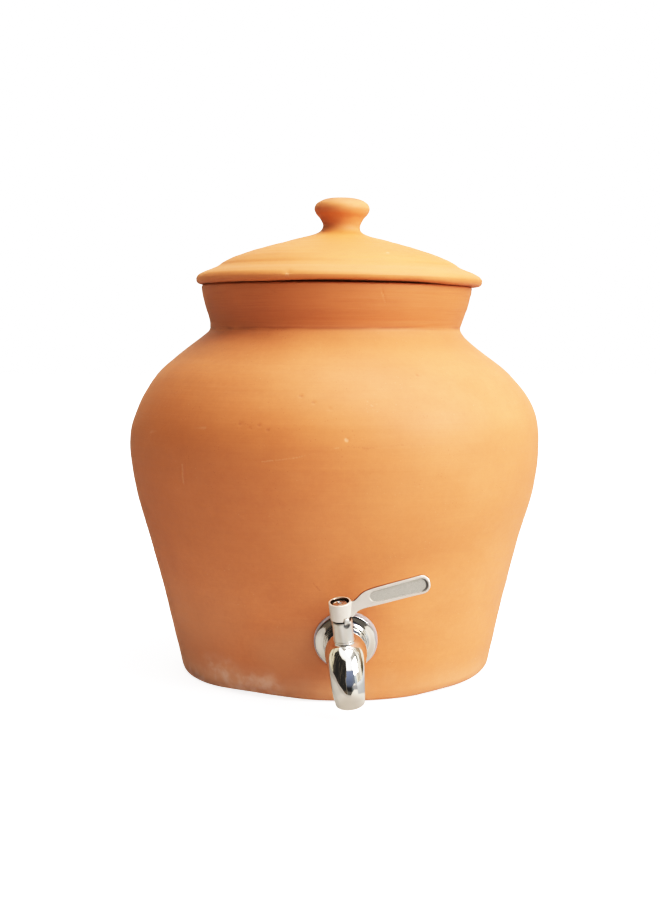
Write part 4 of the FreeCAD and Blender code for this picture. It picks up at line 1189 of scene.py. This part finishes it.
def lever_material():
    """Cast steel, blasted on its faces and rubbed bright along its edges; the sunk panel is greyer and speckled."""
    g = Graph("blasted_steel_lever")
    mm = g.mm
    cloud = g.noise(mm, 0.10, 4.0, 0.6)
    micro = g.noise(mm, 4.5, 3.0, 0.6)
    base = g.mix(g.ramp(cloud, 0.3, 0.75), (0.632, 0.568, 0.490), (0.688, 0.622, 0.540))
    # depth below the blade's face, measured along its normal
    nrm = TAP_M @ FACE_N
    p0 = tap_world(face_point(0, 0, 0))
    depth = g.math("SUBTRACT", g.vec("DOT_PRODUCT", mm, tuple(float(v) for v in nrm)), float(nrm @ p0))
    in_panel = g.math("MULTIPLY", g.ramp(depth, -0.22, -0.42), g.ramp(depth, -0.95, -0.72))
    a = tap_world(face_point(20.9, 2.35, -0.5))
    b = tap_world(face_point(49.4, 7.1, -0.5))
    cap = g.capsule(tuple(a), tuple(b), 3.3, 4.4)
    in_panel = g.math("MULTIPLY", in_panel, cap)
    spk = g.ramp(g.voronoi(mm, 1.6), 0.16, 0.34, 1.0, 0.0)
    grit = g.noise(mm, 2.6, 2.0, 0.7)
    pcol = g.mix(g.ramp(grit, 0.36, 0.66), (0.40, 0.37, 0.32), (0.50, 0.465, 0.405))
    pcol = g.mix(g.math("MULTIPLY", spk, 0.22), pcol, (0.28, 0.265, 0.24))
    col = g.mix(in_panel, base, pcol)
    # painted shade and dark reflection on the panel's sunk walls and the rim round them
    edge = g.math("MULTIPLY", g.ramp(depth, -0.06, -0.2), g.math("SUBTRACT", cap, in_panel, clamp=True))
    col = g.mix(g.math("MULTIPLY", edge, 0.85), col, (0.15, 0.13, 0.11))
    # the far end of the panel lies in its wall's shade
    far_end = g.tree.nodes.new("ShaderNodeVectorMath")
    far_end.operation = "DISTANCE"
    g.link(mm, far_end.inputs[0])
    far_end.inputs[1].default_value = tuple(float(v) for v in tap_world(face_point(48.45, 7.35, -0.5)))
    # away from the hub, whatever doesn't face along the blade's normal is its rubbed edge
    geo = g.tree.nodes.new("ShaderNodeTexCoord")
    facing = g.vec("DOT_PRODUCT", geo.outputs["Normal"], tuple(float(v) for v in nrm))
    root = tap_world(face_point(0, 0, 0))
    xdir = TAP_M @ np.array([1.0, 0.0, 0.0])
    along = g.math("SUBTRACT", g.vec("DOT_PRODUCT", mm, tuple(float(v) for v in xdir)), float(xdir @ root))
    rubbed = g.math("MULTIPLY", g.ramp(facing, 0.90, 0.62), g.ramp(along, 7.0, 9.5))
    crescent = g.math("MULTIPLY", g.math("MULTIPLY", in_panel, g.ramp(along, 48.6, 50.4)), g.ramp(far_end.outputs["Value"], 3.2, 3.9))
    col = g.mix(g.math("MULTIPLY", crescent, 0.88), col, (0.085, 0.078, 0.068))
    # painted reflection: the upward-facing upper edge shows the clay behind as a dark brown band, most of all at the
    # root
    up_dir = TAP_M @ FACE_V
    top = g.math("MULTIPLY", g.ramp(g.vec("DOT_PRODUCT", geo.outputs["Normal"], tuple(float(v) for v in up_dir)), 0.30, 0.60),
                 g.ramp(along, 6.0, 8.0))
    top = g.math("MULTIPLY", top, g.math("SUBTRACT", 1.0, g.math("MULTIPLY", cap, g.ramp(depth, -0.05, -0.12)), clamp=True))
    painted_clay_reflection = g.math("MULTIPLY", top, g.ramp(along, 14.0, 46.0, 0.95, 0.62))
    col = g.mix(painted_clay_reflection, col, (0.185, 0.085, 0.050))
    # inside of the hub's recess: painted shade and reflection of the clay
    stem = TAP_M @ np.array([0.0, 0.0, 1.0])
    foot, head = tap_world([0.0, -STEM_O, 33.0]), tap_world([0.0, -STEM_O, 37.15])
    recess = g.capsule(tuple(foot), tuple(head), 5.62, 5.95)
    bright = g.math("MAXIMUM", rubbed, recess)
    col = g.mix(g.math("MULTIPLY", recess, 0.75), col, (0.30, 0.21, 0.15))
    g.link(col, g.shader.inputs["Base Color"])
    rough = g.math("ADD", g.ramp(micro, 0.3, 0.7, 0.40, 0.50), g.math("MULTIPLY", in_panel, 0.12))
    rough = g.math("SUBTRACT", rough, g.math("MULTIPLY", bright, 0.27))
    g.link(rough, g.shader.inputs["Roughness"])
    g.link(g.ramp(bright, 0.0, 1.0, 0.55, 1.0, smooth=False), g.shader.inputs["Metallic"])
    n = g.bump(micro, 0.22, 0.00012)
    n = g.bump(g.math("MULTIPLY", grit, in_panel), 0.22, 0.0002, n)
    g.link(n, g.shader.inputs["Normal"])
    return g.mat


def collar_material():
    """Satin steel of the bonnet, with painted shade in the pocket under its stop."""
    mat = steel_material("satin_steel", (0.86, 0.825, 0.765), 0.34, 0.42, 0.18, scratch=False)
    t = mat.node_tree
    shader = next(n for n in t.nodes if n.type == "BSDF_PRINCIPLED")
    old = shader.inputs["Base Color"].links[0].from_socket
    am = math.radians(-61.0)
    c0 = tap_world([5.45 * math.cos(am), 5.45 * math.sin(am) - STEM_O, 23.72])
    co = t.nodes.new("ShaderNodeTexCoord")
    far = t.nodes.new("ShaderNodeVectorMath")
    far.operation = "DISTANCE"
    far.inputs[1].default_value = tuple(float(v) * MM for v in c0)
    t.links.new(co.outputs["Object"], far.inputs[0])
    r = t.nodes.new("ShaderNodeMapRange")
    r.interpolation_type = "SMOOTHSTEP"
    t.links.new(far.outputs["Value"], r.inputs["Value"])
    r.inputs["From Min"].default_value = 1.55 * MM
    r.inputs["From Max"].default_value = 2.5 * MM
    r.inputs["To Min"].default_value = 0.80
    r.inputs["To Max"].default_value = 0.0
    # painted shade, fading out between 1.55 and 2.5 mm from the pocket's centre
    m = t.nodes.new("ShaderNodeMix")
    m.data_type = "RGBA"
    t.links.new(r.outputs["Result"], m.inputs["Factor"])
    t.links.new(old, m.inputs[6])
    m.inputs[7].default_value = (0.075, 0.08, 0.088, 1.0)
    t.links.new(m.outputs[2], shader.inputs["Base Color"])
    return mat


def rubber_material(name, base, rough, translucent=0.0):
    g = Graph(name)
    mm = g.mm
    cloud = g.noise(mm, 0.25, 3.0, 0.6)
    grain = g.noise(mm, 3.0, 3.0, 0.6)
    col = g.mix(g.ramp(cloud, 0.3, 0.7), tuple(v * 0.9 for v in base), tuple(min(1.0, v * 1.06) for v in base))
    col = g.mix(g.ramp(grain, 0.6, 0.85, 0.0, 0.25), col, tuple(v * 0.7 for v in base))
    g.link(col, g.shader.inputs["Base Color"])
    g.link(g.ramp(grain, 0.2, 0.8, rough - 0.06, rough + 0.06), g.shader.inputs["Roughness"])
    if translucent:
        g.shader.inputs["Transmission Weight"].default_value = translucent
        g.shader.inputs["IOR"].default_value = 1.41
    g.link(g.bump(grain, 0.15, 0.0001), g.shader.inputs["Normal"])
    return g.mat


def ptfe_material():
    g = Graph("ptfe")
    mm = g.mm
    turn = g.noise(g.stretch(0.3, 2.5, 0.3), 1.0, 3.0)
    col = g.mix(g.ramp(turn, 0.3, 0.7), (0.80, 0.80, 0.78), (0.88, 0.88, 0.86))
    g.link(col, g.shader.inputs["Base Color"])
    g.link(g.ramp(turn, 0.3, 0.7, 0.38, 0.5), g.shader.inputs["Roughness"])
    g.link(g.bump(turn, 0.2, 0.0001), g.shader.inputs["Normal"])
    return g.mat


# ================================================================ assemble
clay = clay_material("fired_clay_pot")
clay_lid = clay_material("fired_clay_lid", lid=True)
polished = steel_material("polished_steel", (0.83, 0.815, 0.785), 0.035, 0.075, 0.05)
satin = collar_material()
machined = steel_material("machined_steel", (0.66, 0.65, 0.63), 0.22, 0.34, 0.15)
lever_mat = lever_material()
silicone = rubber_material("silicone", (0.44, 0.385, 0.385), 0.34, translucent=0.25)
black = rubber_material("black_rubber", (0.018, 0.018, 0.018), 0.55)
ptfe = ptfe_material()

finish_piece(build_pot(), "pot", "clay", clay, "pot_body")
finish_piece(build_lid(), "lid", "clay", clay_lid, "lid")
finish_piece(build_tap_body(), "pot", "polished_steel", polished, "tap_body")
finish_piece(build_flange(), "pot", "polished_steel", polished, "flange")
finish_piece(build_outer_washer(), "pot", "silicone", silicone, "outer_sealing_washer")
finish_piece(build_bonnet(), "pot", "satin_steel", satin, "bonnet")
finish_piece(build_dust_ring(), "pot", "black_rubber", black, "dust_ring")
finish_piece(build_shank(), "pot", "satin_steel", machined, "shank")
finish_piece(build_nut(), "pot", "satin_steel", machined, "lock_nut")
finish_piece(build_lever(), "lever", "satin_steel", lever_mat, "lever")
finish_piece(build_screw(), "lever", "satin_steel", machined, "handle_screw")

for name, mat in (("inner_sealing_washer", silicone), ("backing_washer", machined), ("bonnet_o_ring", black),
                  ("shank_o_ring", black), ("stem_o_rings", black), ("inlet_seat", ptfe), ("outlet_seat", ptfe),
                  ("thrust_washer", ptfe), ("ball", polished), ("stem", machined), ("spring_washer", machined)):
    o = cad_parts[name]
    o.data.materials.clear()
    o.data.materials.append(mat)

# ================================================================ stage
def plain(name, colour, rough=0.9, glow=0.0):
    m = bpy.data.materials.new(name)
    m.use_nodes = True
    b = m.node_tree.nodes["Principled BSDF"]
    b.inputs["Base Color"].default_value = (*colour, 1)
    b.inputs["Roughness"].default_value = rough
    b.inputs["Specular IOR Level"].default_value = 0.1
    if glow:
        b.inputs["Emission Color"].default_value = (*colour, 1)
        b.inputs["Emission Strength"].default_value = glow
    return m


def stage_mesh(name, verts, faces, mat, camera=True, diffuse=True, glossy=True, shadow=True):
    me = bpy.data.meshes.new(name)
    me.from_pydata(verts, [], faces)
    me.materials.append(mat)
    ob = bpy.data.objects.new(name, me)
    scene.collection.objects.link(ob)
    ob.visible_camera = camera
    ob.visible_diffuse = diffuse
    ob.visible_glossy = glossy
    ob.visible_shadow = shadow
    return ob


def quad(k, z=0.0):
    return [(-k, -k, z), (k, -k, z), (k, k, z), (-k, k, z)], [(0, 1, 2, 3)]


# the floor is what the camera sees; the clay's bounce and the steel each see a duller table in the same place
stage_mesh("floor", *quad(6.0), plain("pale_floor", (0.90, 0.90, 0.90), glow=FLOOR_GLOW), diffuse=False, glossy=False,
           shadow=False)
stage_mesh("table", *quad(6.0, -0.0005), plain("table", (0.72, 0.72, 0.75)), camera=False, glossy=False, shadow=False)
EDGE = [(-1.5, -0.330), (-0.30, -0.238), (-0.16, -0.228), (-0.100, -0.226), (-0.062, -0.217), (-0.036, -0.208), (-0.014, -0.194),
        (0.006, -0.188), (0.020, -0.187), (0.032, -0.200), (0.044, -0.209), (0.057, -0.216), (0.066, -0.245), (0.082, -0.300),
        (0.110, -0.345), (0.200, -0.440), (1.5, -1.9), (1.5, 3.0), (-1.5, 3.0)]


def table_for_steel():
    """The table top, duller where the part shades it."""
    g = Graph("table_in_steel")
    far = g.vec("LENGTH", g.vec("MULTIPLY", g.vec("SUBTRACT", g.mm, (10.0, -150.0, 0.0)), (1.0, 0.8, 0.0)))
    col = g.mix(g.ramp(far, 12.0, 55.0), (0.315, 0.275, 0.225), (0.50, 0.46, 0.395))
    gx, gy = g.comp(g.mm, 0), g.comp(g.mm, 1)
    # duller to the left, more so far out and right in front of the spout
    col = g.mix(g.ramp(gx, -6.0, -34.0), col, g.mix(g.ramp(gx, -95.0, -190.0), (0.315, 0.290, 0.250), (0.215, 0.190, 0.160)))
    near = g.math("MULTIPLY", g.ramp(gy, -173.0, -190.0), g.ramp(gx, 26.0, 12.0))
    col = g.mix(g.math("MULTIPLY", near, 0.75), col, (0.205, 0.180, 0.155))
    # farther out a dark grey shape at the front right, and paler grey to the right of it
    out = g.vec("LENGTH", g.vec("SUBTRACT", g.mm, (6.9, -136.0, 0.0)))
    bearing = g.math("DEGREES", g.math("ARCTAN2", g.math("SUBTRACT", gx, 6.9), g.math("MULTIPLY", g.math("ADD", gy, 136.0), -1.0)))
    outer = g.ramp(out, 54.0, 66.0)
    pale = g.math("MULTIPLY", outer, g.ramp(bearing, 50.0, 60.0))
    col = g.mix(pale, col, g.mix(g.ramp(out, 140.0, 320.0), (0.255, 0.260, 0.255), (0.35, 0.365, 0.36)))
    grey = g.math("MULTIPLY", g.math("MULTIPLY", g.ramp(out, 92.0, 114.0), g.ramp(bearing, 8.0, 16.0)), g.ramp(bearing, 61.0, 55.0))
    reach = g.math("MAXIMUM", g.ramp(out, 420.0, 260.0), g.ramp(bearing, 44.0, 49.0, 0.0, 0.7))
    col = g.mix(g.math("MULTIPLY", grey, reach), col, (0.118, 0.119, 0.120))
    g.link(col, g.shader.inputs["Base Color"])
    g.shader.inputs["Roughness"].default_value = 0.9
    return g.mat


stage_mesh("table_in_steel", [(x, y, -0.0007) for x, y in EDGE], [tuple(range(len(EDGE)))], table_for_steel(), camera=False,
           diffuse=False, shadow=False)


def around(name, phi0, phi1, z0, z1, r, colour, glow=0.0, diffuse=True, glossy=True, n=24):
    """Part of an upright ring of cards round the part. phi is 0 in front of it and grows to the right."""
    v, f = [], []
    for i in range(n + 1):
        a = math.radians(phi0 + (phi1 - phi0) * i / n)
        for z in (z0, z1):
            v.append((r * math.sin(a), -r * math.cos(a), z))
    for i in range(n):
        f.append((2 * i, 2 * i + 2, 2 * i + 3, 2 * i + 1))
    return stage_mesh(name, v, f, plain(name, colour, glow=glow), camera=False, diffuse=diffuse, glossy=glossy, shadow=False)


# the dim side of the room keeps light off the clay's left; the steel sees its own set of cards
around("room_left", -155.0, -14.0, 0.15, 3.3, 2.3, (0.070, 0.048, 0.034), glossy=False)
around("room_front", -14.0, 20.0, 0.0, 1.5, 2.31, (0.13, 0.15, 0.19), glossy=False)


def room_for_steel():
    """What stands round the part as the steel shows it, by bearing (0 in front, growing to the right) and height."""
    g = Graph("room_for_steel")
    d = g.vec("SUBTRACT", g.mm, (6.9, -136.0, 45.0))
    x = g.tree.nodes.new("ShaderNodeSeparateXYZ")
    g.link(d, x.inputs[0])
    dx, dy, dz = x.outputs
    az = g.math("DEGREES", g.math("ARCTAN2", dx, g.math("MULTIPLY", dy, -1.0)))
    flat = g.math("SQRT", g.math("ADD", g.math("MULTIPLY", dx, dx), g.math("MULTIPLY", dy, dy)))
    el = g.math("DEGREES", g.math("ARCTAN2", dz, flat))
    bend = g.vec("ADD", g.vec("SCALE", d, scale=0.0011), (3.0, 8.0, 1.0))
    wave = g.ramp(g.noise(bend, 1.0, 1.0, 0.4), 0.3, 0.7, -3.5, 3.5)
    comb = g.tree.nodes.new("ShaderNodeCombineXYZ")
    g.link(g.math("MULTIPLY", az, 0.16), comb.inputs[0])
    g.link(g.math("MULTIPLY", el, 0.018), comb.inputs[1])
    lines = g.noise(comb.outputs[0], 1.0, 3.0, 0.6)
    aw = g.math("ADD", az, wave)

    def span(a0, a1, soft=4.0):
        return g.math("MULTIPLY", g.ramp(aw, a0 - soft / 2, a0 + soft / 2), g.ramp(aw, a1 - soft / 2, a1 + soft / 2, 1.0, 0.0))

    col = g.mix(g.ramp(el, -10.0, 40.0), (0.66, 0.60, 0.48), (0.82, 0.78, 0.70))
    # right: thin dark uprights and a warm one
    on_right = g.ramp(az, 52.0, 62.0)
    col = g.mix(g.math("MULTIPLY", g.math("MULTIPLY", g.ramp(lines, 0.50, 0.56), on_right), 0.9), col, (0.05, 0.036, 0.024))
    bar = g.mix(g.ramp(el, 6.0, 18.0), (0.045, 0.034, 0.018), (0.27, 0.19, 0.125))
    col = g.mix(g.math("MULTIPLY", span(107.0, 121.0), 0.85), col, bar)
    # left edge: cream
    col = g.mix(span(-150.0, -98.0), col, (0.52, 0.46, 0.34))
    col = g.mix(g.math("MULTIPLY", g.math("MULTIPLY", g.ramp(lines, 0.54, 0.60), span(-150.0, -98.0)), 0.85), col, (0.06, 0.045, 0.03))
    # left: dark, with a few dim warm shapes
    dark = g.math("MULTIPLY", span(-99.0, -9.0), g.ramp(el, 52.0, 58.0, 1.0, 0.0))
    col = g.mix(dark, col, g.mix(g.ramp(el, -26.0, -18.0), (0.100, 0.080, 0.060), (0.027, 0.025, 0.023)))
    dim = g.math("MULTIPLY", g.ramp(lines, 0.54, 0.64), dark)
    col = g.mix(g.math("MULTIPLY", dim, 0.48), col, (0.22, 0.18, 0.13))
    # front: blue grey below, white above; paler and greyer to its right
    front = span(-9.0, 46.0, 3.0)
    low = g.mix(g.ramp(el, -25.0, -19.0), (0.105, 0.098, 0.088), (0.024, 0.022, 0.022))
    low = g.mix(g.ramp(el, -14.0, -2.0), low, (0.105, 0.122, 0.165))
    low = g.mix(g.math("MULTIPLY", g.ramp(az, 20.0, 30.0), g.ramp(el, -2.0, -10.0)), low, (0.118, 0.128, 0.126))
    low = g.mix(g.ramp(el, -2.0, 26.0), low, (0.165, 0.19, 0.265))
    low = g.mix(g.math("MULTIPLY", g.ramp(az, 20.0, 44.0), 0.45), low, (0.17, 0.18, 0.19))
    fcol = g.mix(g.ramp(el, 29.0, 33.0), low, (1.0, 1.0, 1.0))
    col = g.mix(front, col, fcol)
    side = span(46.0, 60.0, 4.0)
    scol = g.mix(g.ramp(el, -18.0, 14.0), (0.14, 0.165, 0.20), (0.36, 0.43, 0.50))
    scol = g.mix(g.ramp(el, 14.0, 30.0), scol, (0.24, 0.26, 0.24))
    scol = g.mix(g.math("MULTIPLY", g.ramp(lines, 0.46, 0.58), 0.5), scol, (0.46, 0.46, 0.43))
    col = g.mix(side, col, scol)
    # above them a grey board and a darker one, the light between them
    up = g.math("MULTIPLY", span(46.0, 92.0, 5.0), g.math("MULTIPLY", g.ramp(el, 27.0, 33.0), g.ramp(el, 64.0, 54.0)))
    ucol = g.mix(g.ramp(az, 56.0, 70.0), (0.24, 0.245, 0.25), (0.095, 0.102, 0.096))
    ucol = g.mix(g.ramp(el, 40.0, 52.0), ucol, (0.27, 0.265, 0.25))
    ucol = g.mix(g.math("MULTIPLY", g.ramp(lines, 0.52, 0.60), 0.6), ucol, (0.62, 0.60, 0.55))
    col = g.mix(up, col, ucol)
    g.tree.nodes.remove(g.shader)
    e = g.tree.nodes.new("ShaderNodeEmission")
    g.link(col, e.inputs[0])
    g.link(e.outputs[0], g.out.inputs[0])
    return g.mat


ring_v, ring_f = [], []
for i in range(73):
    a = math.radians(-180.0 + 5.0 * i)
    for z in (-1.6, 3.6):
        ring_v.append((2.2 * math.sin(a), -2.2 * math.cos(a), z))
    if i:
        ring_f.append((2 * i - 2, 2 * i, 2 * i + 1, 2 * i - 1))
stage_mesh("room_in_steel", ring_v, ring_f, room_for_steel(), camera=False, diffuse=False, shadow=False)

world = bpy.data.worlds.new("studio")
world.use_nodes = True
bg = world.node_tree.nodes["Background"]
bg.inputs[0].default_value = (1.0, 1.0, 1.0, 1.0)
bg.inputs[1].default_value = 1.0
scene.world = world


def area(name, loc, target, size, power, color=(1, 1, 1), size_y=None):
    li = bpy.data.lights.new(name, "AREA")
    li.shape = "RECTANGLE"
    li.size = size
    li.size_y = size_y or size
    li.energy = power
    li.color = color
    ob = bpy.data.objects.new(name, li)
    scene.collection.objects.link(ob)
    d = Vector(target) - Vector(loc)
    ob.rotation_euler = d.to_track_quat("-Z", "Y").to_euler()
    ob.location = loc
    return ob


area("key", (1.25, -0.80, 0.95), (0, 0, 0.16), 0.9, 19.5, (1.0, 0.99, 0.97))
area("top", (0.30, -0.25, 1.7), (0, 0, 0.2), 0.9, 11.5)

cam_data = bpy.data.cameras.new("camera")
cam_data.sensor_width = 36.0
cam_data.lens = 55.2
cam_data.clip_start = 0.01
cam = bpy.data.objects.new("camera", cam_data)
scene.collection.objects.link(cam)
cam.location = (-0.0028, -0.95506, 0.2344)
cam.rotation_euler = (math.radians(90.0) - math.atan(121.5 / 1380.0), 0.0, 0.0)
scene.camera = cam

# a plain camera response: a soft toe, a bright middle and a long shoulder
view = scene.view_settings
view.view_transform = "Standard"
view.look = "None"
view.exposure = 0.0
view.gamma = 1.0
view.use_curve_mapping = True
curve = view.curve_mapping
curve.black_level = (0.0, 0.0, 0.0)
curve.white_level = (1.0, 1.0, 1.0)
curve.use_clip = True
line = curve.curves[3]
TONE = [(0.0, 0.0), (0.010, 0.0075), (0.036, 0.036), (0.081, 0.108), (0.14, 0.23), (0.204, 0.376), (0.32, 0.58),
        (0.482, 0.79), (0.62, 0.895), (0.745, 0.955), (1.0, 1.0)]
line.points[0].location = TONE[0]
line.points[1].location = TONE[-1]
for q in TONE[1:-1]:
    line.points.new(*q)
curve.update()
